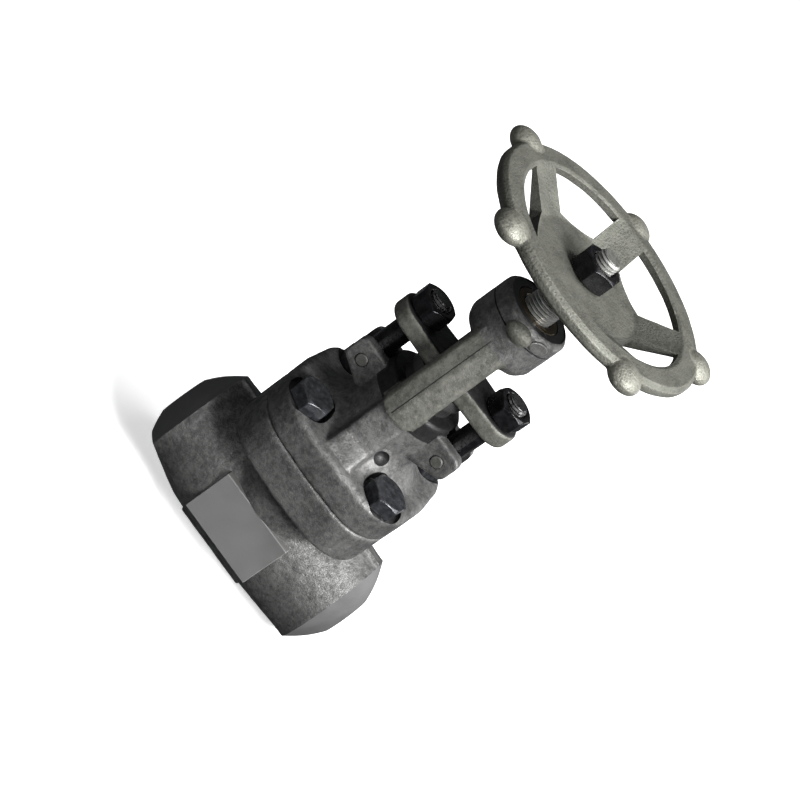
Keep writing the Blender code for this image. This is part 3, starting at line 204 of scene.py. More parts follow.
class Look:
    """One material, made from a finish by sums of noise in object coordinates."""

    def __init__(self, finish: Finish) -> None:
        """Make the material and dress it by its grain."""
        self.finish = finish
        self.material = bpy.data.materials.new(finish.name)
        self.material.use_nodes = True
        self.tree = self.material.node_tree
        self.shader = self.tree.nodes["Principled BSDF"]
        self.place = self.node("ShaderNodeTexCoord").outputs["Object"]
        recipes: dict[Grain, Callable[[], None]] = {
            Grain.FORGED: self.forged, Grain.CAST: self.cast, Grain.TURNED: self.turned,
            Grain.BLACKED: self.blacked, Grain.PRESSED: self.pressed}
        recipes[finish.grain]()

    def node(self, kind: str, settings: dict | None = None,
             inputs: dict | None = None) -> bpy.types.Node:
        """Make a node, set it up and feed its sockets.

        Args:
            kind: The node's type.
            settings: Its own settings, set first.
            inputs: Values or links by socket name or number.

        Returns:
            The node.
        """
        made = self.tree.nodes.new(kind)
        for name, value in (settings or {}).items():
            setattr(made, name, value)
        for name, value in (inputs or {}).items():
            source = value.socket if isinstance(value, Value) else value
            if isinstance(source, bpy.types.NodeSocket):
                self.tree.links.new(source, made.inputs[name])
            else:
                made.inputs[name].default_value = source
        return made

    def maths(self, operation: str, first: Value | float, second: Value | float) -> Value:
        """Return one Math node's result."""
        node = self.node("ShaderNodeMath", {"operation": operation}, {0: first, 1: second})
        return Value(self, node.outputs[0])

    def noise(self, size: float, detail: float = 3.0, rough: float = 0.55,
              stretch: Point3 = (1.0, 1.0, 1.0)) -> Value:
        """Make noise.

        Args:
            size: Size of the main blots in metres.
            detail: How many finer layers it has.
            rough: How strong the finer layers are.
            stretch: Scale of the place on each axis.

        Returns:
            The noise, about 0.5 in the middle.
        """
        place = self.node("ShaderNodeMapping", None, {"Vector": self.place, "Scale": stretch})
        node = self.node("ShaderNodeTexNoise", None,
                         {"Vector": place.outputs[0], "Scale": 1.0 / size, "Detail": detail,
                          "Roughness": rough})
        return Value(self, node.outputs[0])

    def pits(self, size: float) -> Value:
        """Scatter points, for pits and pebbles.

        Args:
            size: Their spacing in metres.

        Returns:
            The distance to the nearest point, in spacings.
        """
        node = self.node("ShaderNodeTexVoronoi", None,
                         {"Vector": self.place, "Scale": 1.0 / size, "Randomness": 1.0})
        return Value(self, node.outputs["Distance"])

    def edges(self, low: float, high: float) -> Value:
        """Return how far a place stands out as an edge, for wear and dirt."""
        node = self.node("ShaderNodeNewGeometry")
        return Value(self, node.outputs["Pointiness"]).step(low, high)

    def blend(self, share: Value, first: Colour | Value, second: Colour | Value) -> Value:
        """Mix two colours.

        Args:
            share: How much of the second shows.
            first: A colour, or a mix made before.
            second: The other one.

        Returns:
            The mix.
        """
        ends = [(*end, 1.0) if isinstance(end, tuple) else end for end in (first, second)]
        node = self.node("ShaderNodeMix", {"data_type": "RGBA"},
                         {"Factor": share, 6: ends[0], 7: ends[1]})
        return Value(self, node.outputs[2])

    def set(self, colour: Value, rough: Value, height: Value, depth: float) -> None:
        """Feed the shader's sockets.

        Args:
            colour: The base colour.
            rough: A share between the finish's two roughness values.
            height: The relief, from 0 to 1.
            depth: How deep that relief is, in metres.
        """
        low, high = self.finish.rough
        bump = self.node("ShaderNodeBump", None,
                         {"Height": height, "Distance": depth, "Strength": 1.0})
        rough = low + rough * (high - low)
        for name, source in (("Base Color", colour.socket), ("Roughness", rough.socket),
                             ("Normal", bump.outputs[0])):
            self.tree.links.new(source, self.shader.inputs[name])
        self.shader.inputs["Metallic"].default_value = self.finish.metallic

    def forged(self) -> None:
        """Dress a hammered, phosphated forging: blotches, scale pits and rubbed edges."""
        grain = self.finish.grain_size
        blots = self.noise(14.0 * MM, 4.0, 0.62)
        mottle = self.noise(2.6 * MM, 5.0, 0.70)
        fine = self.noise(0.5 * grain, 3.0, 0.6)
        scale = self.pits(2.2 * grain)
        share = (0.35 * blots + 0.45 * mottle + 0.2 * fine).step(0.38, 0.62)
        base = self.blend(share, self.finish.dark, self.finish.light)
        rubbed = self.edges(0.515, 0.60) * self.noise(1.5 * MM, 4.0, 0.7).step(0.35, 0.65)
        colour = self.blend(rubbed * 0.75, base, self.finish.worn)
        height = 0.5 * mottle + 0.35 * fine + 0.15 * scale.step(0.0, 0.5)
        self.set(colour, 1.0 - share * 0.7, height, self.finish.depth * 4.0)

    def cast(self) -> None:
        """Dress a sand casting: pebbles, thin grey coat and bare high spots."""
        grain = self.finish.grain_size
        blots = self.noise(11.0 * MM, 4.0, 0.6)
        sand = self.noise(0.9 * grain, 4.0, 0.65)
        pebbles = self.pits(1.6 * grain).step(0.0, 0.8)
        share = (0.55 * blots + 0.35 * sand + 0.1 * pebbles).step(0.30, 0.66)
        base = self.blend(share, self.finish.dark, self.finish.light)
        bare = self.edges(0.505, 0.56) * self.noise(2.0 * MM, 4.0, 0.7).step(0.25, 0.60)
        colour = self.blend(bare * 0.8, base, self.finish.worn)
        height = 0.7 * sand + 0.3 * pebbles
        self.set(colour, 1.0 - bare * 0.6, height, self.finish.depth * 2.0)

    def turned(self) -> None:
        """Dress a machined face: fine lines, faint stains."""
        lines = self.noise(self.finish.grain_size, 2.0, 0.5, (0.2, 0.2, 6.0))
        stains = self.noise(9.0 * MM, 4.0, 0.6)
        share = (0.6 * stains + 0.4 * lines).step(0.30, 0.68)
        base = self.blend(share, self.finish.dark, self.finish.light)
        bright = self.edges(0.53, 0.62)
        colour = self.blend(bright * 0.6, base, self.finish.worn)
        self.set(colour, stains.step(0.3, 0.7), lines, self.finish.depth)

    def blacked(self) -> None:
        """Dress oiled black oxide: gloss that varies and edges rubbed to steel."""
        smear = self.noise(self.finish.grain_size, 4.0, 0.6)
        fine = self.noise(0.4 * MM, 3.0, 0.6)
        base = self.blend(smear.step(0.35, 0.65), self.finish.dark, self.finish.light)
        rubbed = self.edges(0.53, 0.62) * self.noise(1.2 * MM, 3.0, 0.7).step(0.30, 0.60)
        colour = self.blend(rubbed * 0.7, base, self.finish.worn)
        self.set(colour, smear.step(0.3, 0.7), 0.6 * smear + 0.4 * fine,
                 self.finish.depth)

    def pressed(self) -> None:
        """Dress a surface that nothing rubs: even flakes with a dull sheen."""
        flakes = self.noise(self.finish.grain_size, 4.0, 0.7, (1.0, 1.0, 3.0))
        base = self.blend(flakes.step(0.35, 0.65), self.finish.dark, self.finish.light)
        self.set(base, flakes, flakes, self.finish.depth)


class Wardrobe:
    """Every finish's material, made once."""

    def __init__(self) -> None:
        """Start with no materials."""
        self.looks: dict[str, Look] = {}

    def material(self, finish: Finish) -> bpy.types.Material:
        """Look up the material of a finish, and make it at its first use.

        Args:
            finish: The finish.

        Returns:
            Its material.
        """
        if finish.name not in self.looks:
            self.looks[finish.name] = Look(finish)
        return self.looks[finish.name].material


class Bench:
    """Modelling steps, each one what a hand does in the window."""

    def __init__(self, wardrobe: Wardrobe) -> None:
        """Keep the finishes at hand."""
        self.wardrobe = wardrobe

    def clear(self) -> None:
        """Leave edit mode and deselect everything."""
        active = bpy.context.view_layer.objects.active
        if active is not None and active.mode != "OBJECT":
            bpy.ops.object.mode_set(mode="OBJECT")
        bpy.ops.object.select_all(action="DESELECT")

    def take(self, thing: bpy.types.Object) -> None:
        """Select one object alone and make it active.

        Args:
            thing: The object.
        """
        self.clear()
        thing.select_set(True)
        bpy.context.view_layer.objects.active = thing

    def pick(self, thing: bpy.types.Object, test: Callable[[Vector], bool]) -> None:
        """Go into edit mode with some vertices selected.

        Args:
            thing: The object.
            test: Says of a vertex's place whether it is taken.
        """
        self.take(thing)
        bpy.ops.object.mode_set(mode="EDIT")
        bpy.ops.mesh.select_mode(type="VERT")
        bpy.ops.mesh.select_all(action="DESELECT")
        bpy.ops.object.mode_set(mode="OBJECT")
        for vertex in thing.data.vertices:
            vertex.select = test(vertex.co)
        bpy.ops.object.mode_set(mode="EDIT")

    def apply_place(self, thing: bpy.types.Object) -> bpy.types.Object:
        """Move an object's place, turn and scale into its mesh.

        Args:
            thing: The object.

        Returns:
            The same object.
        """
        self.take(thing)
        bpy.ops.object.transform_apply(location=True, rotation=True, scale=True)
        return thing

    def move(self, thing: bpy.types.Object, place: Matrix) -> bpy.types.Object:
        """Put an object at a place, and leave that place in its mesh."""
        thing.matrix_world = place @ thing.matrix_world
        return self.apply_place(thing)

    def modify(self, thing: bpy.types.Object, kind: str, **settings: object) -> None:
        """Add a modifier, set it and apply it.

        Args:
            thing: The object.
            kind: The modifier's type.
            settings: Its settings by name.
        """
        step = thing.modifiers.new(kind.lower(), kind)
        for name, value in settings.items():
            setattr(step, name, value)
        self.take(thing)
        bpy.ops.object.modifier_apply(modifier=step.name)

    def paint(self, thing: bpy.types.Object, finish: Finish) -> bpy.types.Object:
        """Give all of an object one finish.

        Args:
            thing: The object.
            finish: The finish.

        Returns:
            The same object.
        """
        thing.data.materials.clear()
        thing.data.materials.append(self.wardrobe.material(finish))
        return thing

    def turned(self, name: str, profile: Sequence[Point2], steps: int = 64,
               ring: bool = False) -> bpy.types.Object:
        """Pull a circle through a profile, and close it.

        Args:
            name: The object's name.
            profile: Radius and height of each circle, none on the axis.
            steps: Sides of the circle.
            ring: Whether the last circle joins the first, for a piece with a bore.

        Returns:
            The closed, upright solid.
        """
        self.clear()
        radius, height = profile[0]
        bpy.ops.mesh.primitive_circle_add(vertices=steps, radius=radius,
                                          location=(0.0, 0.0, height))
        thing = self.apply_place(bpy.context.object)
        thing.name = name
        bpy.ops.object.mode_set(mode="EDIT")
        bpy.ops.mesh.select_all(action="SELECT")
        for new_radius, new_height in profile[1:]:
            rise = (0.0, 0.0, new_height - height)
            bpy.ops.mesh.extrude_region_move(TRANSFORM_OT_translate={"value": rise})
            scale = new_radius / radius
            bpy.ops.transform.resize(value=(scale, scale, 1.0),
                                     center_override=(0.0, 0.0, new_height))
            radius, height = new_radius, new_height
        if ring:
            bpy.ops.object.mode_set(mode="OBJECT")
            for vertex in thing.data.vertices[:steps]:
                vertex.select = True
            bpy.ops.object.mode_set(mode="EDIT")
            bpy.ops.mesh.bridge_edge_loops()
        else:
            bpy.ops.mesh.edge_face_add()
            bpy.ops.mesh.select_all(action="DESELECT")
            bpy.ops.object.mode_set(mode="OBJECT")
            for vertex in thing.data.vertices[:steps]:
                vertex.select = True
            bpy.ops.object.mode_set(mode="EDIT")
            bpy.ops.mesh.edge_face_add()
        self.tidy_normals()
        return thing

    def tidy_normals(self) -> None:
        """Turn every face of the object in edit mode outwards, and leave edit mode."""
        bpy.ops.mesh.select_all(action="SELECT")
        bpy.ops.mesh.normals_make_consistent(inside=False)
        bpy.ops.object.mode_set(mode="OBJECT")

    def prism(self, name: str, outline: Sequence[Point2], low: float,
              high: float) -> bpy.types.Object:
        """Shape a filled circle to an outline and extrude it upright.

        Args:
            name: The object's name.
            outline: The outline, point by point.
            low: Height of its lower face.
            high: Height of its upper face.

        Returns:
            The closed solid.
        """
        self.clear()
        bpy.ops.mesh.primitive_circle_add(vertices=len(outline), radius=1.0,
                                          fill_type="NGON")
        thing = bpy.context.object
        thing.name = name
        for vertex, (x, y) in zip(thing.data.vertices, outline):
            vertex.co = (x, y, low)
        bpy.ops.object.mode_set(mode="EDIT")
        bpy.ops.mesh.select_all(action="SELECT")
        rise = (0.0, 0.0, high - low)
        bpy.ops.mesh.extrude_region_move(TRANSFORM_OT_translate={"value": rise})
        self.tidy_normals()
        return thing

    def block(self, name: str, low: Point3, high: Point3,
              rounding: float = 0.0) -> bpy.types.Object:
        """Scale a cube between two corners.

        Args:
            name: The object's name.
            low: The corner with the lowest values.
            high: The opposite corner.
            rounding: Width of its rounded edges, 0 for sharp.

        Returns:
            The block.
        """
        self.clear()
        low, high = Vector(low), Vector(high)
        bpy.ops.mesh.primitive_cube_add(size=1.0, location=0.5 * (low + high))
        thing = bpy.context.object
        thing.name = name
        thing.scale = high - low
        self.apply_place(thing)
        if rounding > 0.0:
            self.round_edges(thing, rounding)
        return thing

    def rod(self, name: str, radius: float, start: Point3, end: Point3,
            steps: int = 48) -> bpy.types.Object:
        """Lay a cylinder between two points.

        Args:
            name: The object's name.
            radius: Its radius.
            start: Middle of one end.
            end: Middle of the other end.
            steps: Sides of the circle.

        Returns:
            The rod.
        """
        self.clear()
        start, end = Vector(start), Vector(end)
        turn = (end - start).to_track_quat("Z", "Y").to_euler()
        bpy.ops.mesh.primitive_cylinder_add(vertices=steps, radius=radius,
                                            depth=(end - start).length,
                                            location=0.5 * (start + end), rotation=turn)
        thing = bpy.context.object
        thing.name = name
        return self.apply_place(thing)

    def ball(self, name: str, radii: Point3, place: Matrix,
             steps: int = 32) -> bpy.types.Object:
        """Stretch a sphere to three radii.

        Args:
            name: The object's name.
            radii: Its radii along X, Y and Z.
            place: Where it is put and how it is turned.
            steps: Segments round it.

        Returns:
            The ball.
        """
        self.clear()
        bpy.ops.mesh.primitive_uv_sphere_add(segments=steps, ring_count=steps // 2, radius=1.0)
        thing = bpy.context.object
        thing.name = name
        return self.move(thing, place @ Matrix.Diagonal((*radii, 1.0)))

    def round_edges(self, thing: bpy.types.Object, width: float, segments: int = 3,
                    angle: float = radians(35.0)) -> None:
        """Round the sharp edges of an object.

        Args:
            thing: The object.
            width: Width of the rounding.
            segments: Its steps.
            angle: Edges flatter than this are left.
        """
        self.modify(thing, "BEVEL", width=width, segments=segments, limit_method="ANGLE",
                    angle_limit=angle, harden_normals=False)

    def combine(self, target: bpy.types.Object, tool: bpy.types.Object,
                operation: str) -> bpy.types.Object:
        """Unite with a tool, cut by it or keep what is within it.

        Args:
            target: The object that is kept.
            tool: The tool, which is used up.
            operation: The Boolean modifier's operation.

        Returns:
            The target, with the tool's finish where the tool leaves its surface.
        """
        self.modify(target, "BOOLEAN", operation=operation, solver="EXACT", object=tool,
                    material_mode="TRANSFER")
        bpy.data.objects.remove(tool, do_unlink=True)
        return target

    def fuse(self, parts: Iterable[bpy.types.Object]) -> bpy.types.Object:
        """Unite simple shapes one by one.

        Args:
            parts: The shapes.

        Returns:
            The first, with the rest.
        """
        first, *rest = parts
        for part in rest:
            self.combine(first, part, "UNION")
        return first

    def gather(self, parts: Sequence[bpy.types.Object]) -> bpy.types.Object:
        """Join objects into one without changing their shapes.

        Args:
            parts: The objects.

        Returns:
            The first, with the rest.
        """
        self.clear()
        for part in parts:
            part.select_set(True)
        bpy.context.view_layer.objects.active = parts[0]
        bpy.ops.object.join()
        return parts[0]

    def forge(self, parts: Sequence[bpy.types.Object], cell: float, passes: int,
              waviness: float) -> bpy.types.Object:
        """Melt overlapping shapes into one skin with soft edges.

        Args:
            parts: Closed shapes that overlap.
            cell: Size of the skin's cells in metres.
            passes: Rounds of smoothing.
            waviness: How far the skin wanders from true, in metres.

        Returns:
            The one skin.
        """
        blank = self.gather(parts)
        self.modify(blank, "REMESH", mode="VOXEL", voxel_size=cell, use_smooth_shade=True)
        self.modify(blank, "SMOOTH", factor=0.5, iterations=passes)
        normals = [vertex.normal.copy() for vertex in blank.data.vertices]
        for vertex, normal in zip(blank.data.vertices, normals):
            swell = noise.fractal(vertex.co / (6.0 * MM), 0.8, 2.0, 3)
            vertex.co += normal * (waviness * swell)
        return blank

    def soften(self, thing: bpy.types.Object, test: Callable[[Vector], bool],
               rounds: int) -> None:
        """Smooth some vertices, as a fillet.

        Args:
            thing: The object.
            test: Says of a vertex's place whether it is smoothed.
            rounds: How often.
        """
        self.pick(thing, test)
        bpy.ops.mesh.vertices_smooth(factor=0.5, repeat=rounds)
        bpy.ops.object.mode_set(mode="OBJECT")

    def thread(self, name: str, crest: float, root: float, pitch: float, low: float,
               high: float, flat: float, steps: int = 40,
               share: float = 1.0) -> bpy.types.Object:
        """Wind a thread's section into a helix.

        Args:
            name: The object's name.
            crest: Radius of the crests.
            root: Radius of the roots.
            pitch: Rise of one turn.
            low: Height where it starts.
            high: Height where it ends.
            flat: Width of the crest as a share of the pitch.
            steps: Sections in one turn.
            share: How much of the pitch one start takes up.

        Returns:
            The closed helix, sunk a little into its core.
        """
        sunk = root - 0.2 * MM
        self.clear()
        bpy.ops.mesh.primitive_circle_add(vertices=4, radius=1.0)
        thing = bpy.context.object
        thing.name = name
        wide, narrow = 0.44 * share * pitch, 0.5 * flat * pitch
        section = ((sunk, -wide), (crest, -narrow), (crest, narrow), (sunk, wide))
        for vertex, (radius, rise) in zip(thing.data.vertices, section):
            vertex.co = (radius, 0.0, low + rise)
        self.modify(thing, "SCREW", axis="Z", angle=tau, screw_offset=pitch,
                    iterations=max(1, int((high - low) / pitch)), steps=steps,
                    render_steps=steps, use_merge_vertices=False)
        self.take(thing)
        bpy.ops.object.mode_set(mode="EDIT")
        bpy.ops.mesh.select_mode(type="EDGE")
        bpy.ops.mesh.select_all(action="DESELECT")
        bpy.ops.mesh.select_non_manifold()
        bpy.ops.mesh.fill_holes(sides=4)
        bpy.ops.mesh.select_mode(type="VERT")
        self.tidy_normals()
        return thing

    def settle(self, piece: bpy.types.Object, name: str, body: str,
               nodes: Sequence[str], angle: float = radians(32.0)) -> bpy.types.Object:
        """Lift a finished piece into place, and hang it on its body.

        Args:
            piece: The piece, drawn round the pipe axis.
            name: Its name.
            body: The body that it moves with.
            nodes: The solids that it stands for.
            angle: Edges sharper than this stay crisp.

        Returns:
            The piece.
        """
        self.move(piece, Matrix.Translation((0.0, 0.0, AXIS_HEIGHT)))
        piece.name = name
        piece.data.name = name
        self.take(piece)
        bpy.ops.object.shade_smooth_by_angle(angle=angle)
        self.modify(piece, "WEIGHTED_NORMAL", keep_sharp=True, weight=60)
        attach(piece, body)
        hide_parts(*nodes)
        log.info("%s: %d faces", name, len(piece.data.polygons))
        return piece


def arc(centre: Point2, radius: float, start: float, end: float,
        step: float = radians(7.5)) -> list[Point2]:
    """Divide an arc into points, ends included.

    Args:
        centre: Its centre.
        radius: Its radius.
        start: Its first angle.
        end: Its last angle.
        step: The angle between two points, about.

    Returns:
        The points.
    """
    count = max(2, round(abs(end - start) / step) + 1)
    part = (end - start) / (count - 1)
    return [(centre[0] + radius * cos(start + part * index),
             centre[1] + radius * sin(start + part * index)) for index in range(count)]


def hexagon(flats: float) -> list[Point2]:
    """Draw a hexagon.

    Args:
        flats: Its width across the flats.

    Returns:
        Its corners.
    """
    corner = flats / (2.0 * cos(pi / 6.0))
    return [(corner * cos(pi / 6.0 + turn * pi / 3.0), corner * sin(pi / 6.0 + turn * pi / 3.0))
            for turn in range(6)]


@dataclass
class Flange:
    """The bowed square shared by the body's and the bonnet's flanges."""

    half_width: float = 36.6 * MM
    bow: float = 1.0 * MM
    corner: float = 22.0 * MM
    joint: float = 45.3 * MM
    pitch: float = 47.0 * MM
    recess: float = 24.0 * MM
    tapping: float = 5.3 * MM

    def outline(self) -> list[Point2]:
        """Draw the bowed sides and the round corners.

        Returns:
            The outline's points, side by side.
        """
        flat = self.half_width - self.corner
        points: list[Point2] = []
        for side in range(4):
            turn = Matrix.Rotation(side * 0.5 * pi, 2)
            bow = turn @ Vector((self.half_width + self.bow, 0.0))
            corner = turn @ Vector((flat, flat))
            points.append((bow.x, bow.y))
            points.extend(arc((corner.x, corner.y), self.corner, side * 0.5 * pi,
                              (side + 1) * 0.5 * pi))
        return points

    def bolts(self) -> list[Point2]:
        """Return the places of the four cap screws."""
        half = 0.5 * self.pitch
        return [(-half, -half), (half, -half), (half, half), (-half, half)]


@dataclass
class BodyForging:
    """The body: two spigots, side pads, the bowl and its flange."""

    flange: Flange
    half_length: float = 55.5 * MM
    weld_radius: float = 10.65 * MM
    weld_bore: float = 6.95 * MM
    bore_depth: float = 12.0 * MM
    bevel: float = 9.0 * MM
    cone_swell: float = 0.9 * MM
    cone_steps: int = 12
    end_reach: float = 6.0 * MM
    spigot: float = 25.6 * MM
    root: float = 27.0 * MM
    trim_size: Point3 = (110.0 * MM, 60.0 * MM, 60.0 * MM)
    trim_place: Point3 = (-24.0 * MM, 0.0, -26.9 * MM)
    trim_roll: float = radians(-27.0)
    trim_pitch: float = radians(17.0)
    seam_start: float = 18.0 * MM
    seam_half_width: float = 0.5 * MM
    seam_sink: float = 2.0 * MM
    seam_rise: float = 0.35 * MM
    pad_half_length: float = 19.3 * MM
    pad_half_height: float = 12.5 * MM
    pad_reach: float = 27.6 * MM
    pad_sink: float = 0.8 * MM
    pad_root: float = 20.0 * MM
    pad_rounding: float = 0.4 * MM
    mill_reach: float = 40.0 * MM
    base_half_width: float = 10.0 * MM
    base_rounding: float = 0.8 * MM
    bottom: float = 27.6 * MM
    bowl: float = 28.0 * MM
    bowl_low: float = -5.0 * MM
    flare: float = 33.0 * MM
    flare_lip: float = 0.5 * MM
    flare_waist: Point2 = (1.5 * MM, 2.8 * MM)
    flare_drop: float = 7.0 * MM
    flange_bottom: float = 28.5 * MM
    flange_rounding: float = 1.3 * MM
    stock: float = 0.15 * MM
    fillet: float = 3.6 * MM
    fillet_low: float = 4.0 * MM
    fillet_drop: float = 1.5 * MM
    fillet_rounds: int = 90
    cell: float = 0.65 * MM
    waviness: float = 0.10 * MM
    recess_depth: float = 5.0 * MM
    cavity_reach: float = 60.0 * MM
    cavity_rise: float = 5.0 * MM
    bowl_bore: float = 17.0 * MM
    bowl_floor: float = 6.5 * MM
    seat: float = 11.3 * MM
    seat_floor: float = 4.0 * MM
    port: float = 6.0 * MM
    port_clearance: float = 1.0 * MM
    port_floor: float = -13.0 * MM
    inlet_end: Point3 = (0.0, 0.0, -8.0 * MM)
    outlet_start: Point3 = (9.0 * MM, 0.0, 17.5 * MM)
    tapping_depth: float = 14.0 * MM

    def blank(self, bench: Bench) -> bpy.types.Object:
        """Forge the outside, before any cut.

        Args:
            bench: The modelling steps.

        Returns:
            The rough forging, with its fillet smoothed.
        """
        end, root = self.half_length + PAST, self.pad_half_length
        lie_down = Matrix.Rotation(0.5 * pi, 4, "Y")
        taper_end = 0.8 * end - 0.2 * root
        spigots = bench.turned("spigots", [(self.spigot, -end), (self.spigot, -taper_end),
                                           (self.root, -root), (self.root, root),
                                           (self.spigot, taper_end), (self.spigot, end)],
                               steps=96)
        bench.move(spigots, lie_down)
        length, width, depth = self.trim_size
        trim = bench.block("inlet_trim", (-length, -width, -depth), (0.0, width, 0.0))
        bench.move(trim, Matrix.Rotation(self.trim_roll, 4, "X")
                   @ Matrix.Translation(self.trim_place)
                   @ Matrix.Rotation(self.trim_pitch, 4, "Y"))
        bench.combine(spigots, trim, "DIFFERENCE")
        base = bench.block("base", (-root, -self.base_half_width, -self.bottom),
                           (root, self.base_half_width, 0.0), self.base_rounding)
        low = self.flange_bottom
        swell, waist = self.flare_waist
        bowl = bench.turned("bowl", [(self.flare, low + PAST), (self.flare, low - self.flare_lip),
                                     (self.bowl + swell, low - waist),
                                     (self.bowl, low - self.flare_drop),
                                     (self.bowl, self.bowl_low)], steps=96)
        flange = bench.prism("flange", self.flange.outline(), low,
                             self.flange.joint + self.stock)
        bench.round_edges(flange, self.flange_rounding)
        seams = []
        for name, side in SIDES:
            near, far = sorted((side * self.seam_start, side * end))
            seams.append(bench.block(
                f"seam_{name}", (near, -self.seam_half_width, self.spigot - self.seam_sink),
                (far, self.seam_half_width, self.root + self.seam_rise)))
        blank = bench.forge([spigots, base, bowl, flange, *seams], self.cell, 4, self.waviness)
        bench.soften(blank, self.in_fillet, self.fillet_rounds)
        return blank

    def in_fillet(self, place: Vector) -> bool:
        """Tell whether a place is near the line where the bowl meets the spigots.

        Args:
            place: A vertex's place, from the pipe axis.

        Returns:
            Whether the fillet takes it in.
        """
        return (self.fillet_low < place.z < self.flange_bottom - self.fillet_drop
                and abs(hypot(place.x, place.y) - self.bowl) < self.fillet
                and abs(hypot(place.y, place.z) - self.root) < self.fillet)

    def end_tool(self, bench: Bench, side: int) -> bpy.types.Object:
        """Make the cutter that faces, bevels and bores one weld end.

        Args:
            bench: The modelling steps.
            side: -1 for the inlet, 1 for the outlet.

        Returns:
            The cutter, in its place.
        """
        end, far = self.half_length, self.half_length + self.end_reach
        slope = (self.spigot - self.weld_radius) / self.bevel
        cone = []
        for index in range(self.cone_steps + 5):
            share = index / self.cone_steps
            radius = self.weld_radius + (self.spigot - self.weld_radius) * share
            swell = self.cone_swell * max(0.0, sin(pi * min(share, 1.0)))
            cone.append((radius, end - (radius - self.weld_radius) / slope + swell))
        tool = bench.turned("end_tool", [(NEAR_AXIS, end - self.bore_depth),
                                         (self.weld_bore, end - self.bore_depth),
                                         (self.weld_bore, end), *cone,
                                         (cone[-1][0], far), (NEAR_AXIS, far)], steps=128)
        return bench.move(tool, Matrix.Rotation(side * 0.5 * pi, 4, "Y"))

    def bores(self, bench: Bench) -> bpy.types.Object:
        """Make every cutter of the body's bores, faces and tapped holes.

        Args:
            bench: The modelling steps.

        Returns:
            The cutters in one object, painted as the surfaces that they leave.
        """
        joint = self.flange.joint
        recess_floor, port = joint - self.recess_depth, self.port + self.port_clearance
        cavity = bench.turned("cavity", [(NEAR_AXIS, joint + self.cavity_rise),
                                         (self.cavity_reach, joint + self.cavity_rise),
                                         (self.cavity_reach, joint),
                                         (self.flange.recess, joint),
                                         (self.flange.recess, recess_floor),
                                         (self.bowl_bore, recess_floor),
                                         (self.bowl_bore, self.bowl_floor),
                                         (self.seat, self.bowl_floor),
                                         (self.seat, self.seat_floor), (port, self.seat_floor),
                                         (port, self.port_floor),
                                         (NEAR_AXIS, self.port_floor)], steps=72)
        bore_end = self.half_length - self.bore_depth
        inlet = bench.rod("inlet", self.port, (-bore_end - PAST, 0.0, 0.0), self.inlet_end)
        outlet = bench.rod("outlet", self.port, (bore_end + PAST, 0.0, 0.0), self.outlet_start)
        holes = [bench.rod(f"tapping_{number}", self.flange.tapping,
                           (x, y, joint - self.tapping_depth), (x, y, joint + PAST), steps=24)
                 for number, (x, y) in enumerate(self.flange.bolts())]
        tool = bench.paint(bench.fuse([cavity, inlet, outlet, *holes]), BORED)
        for side in (-1, 1):
            # The bevel cutter paints the cones with the darker faced steel: painted shade.
            bench.combine(tool, bench.paint(self.end_tool(bench, side), BEVEL), "UNION")
        return tool

    def build(self, bench: Bench) -> None:
        """Forge and machine the body.

        Args:
            bench: The modelling steps.
        """
        blank = bench.paint(self.blank(bench), FORGED)
        bench.combine(blank, self.bores(bench), "DIFFERENCE")
        half, high = self.pad_half_length, self.pad_half_height
        for side in (-1, 1):
            near, far = sorted((side * (self.pad_reach - self.pad_sink), side * self.mill_reach))
            mill = bench.block("mill", (-half, near, -high), (half, far, high))
            bench.combine(blank, bench.paint(mill, FACED), "DIFFERENCE")
            near, far = sorted((side * self.pad_root, side * self.pad_reach))
            pad = bench.block("pad", (-half, near, -high), (half, far, high), self.pad_rounding)
            bench.combine(blank, bench.paint(pad, FACED), "UNION")
        bench.settle(blank, "body_forging", "valve_body", ["body"])


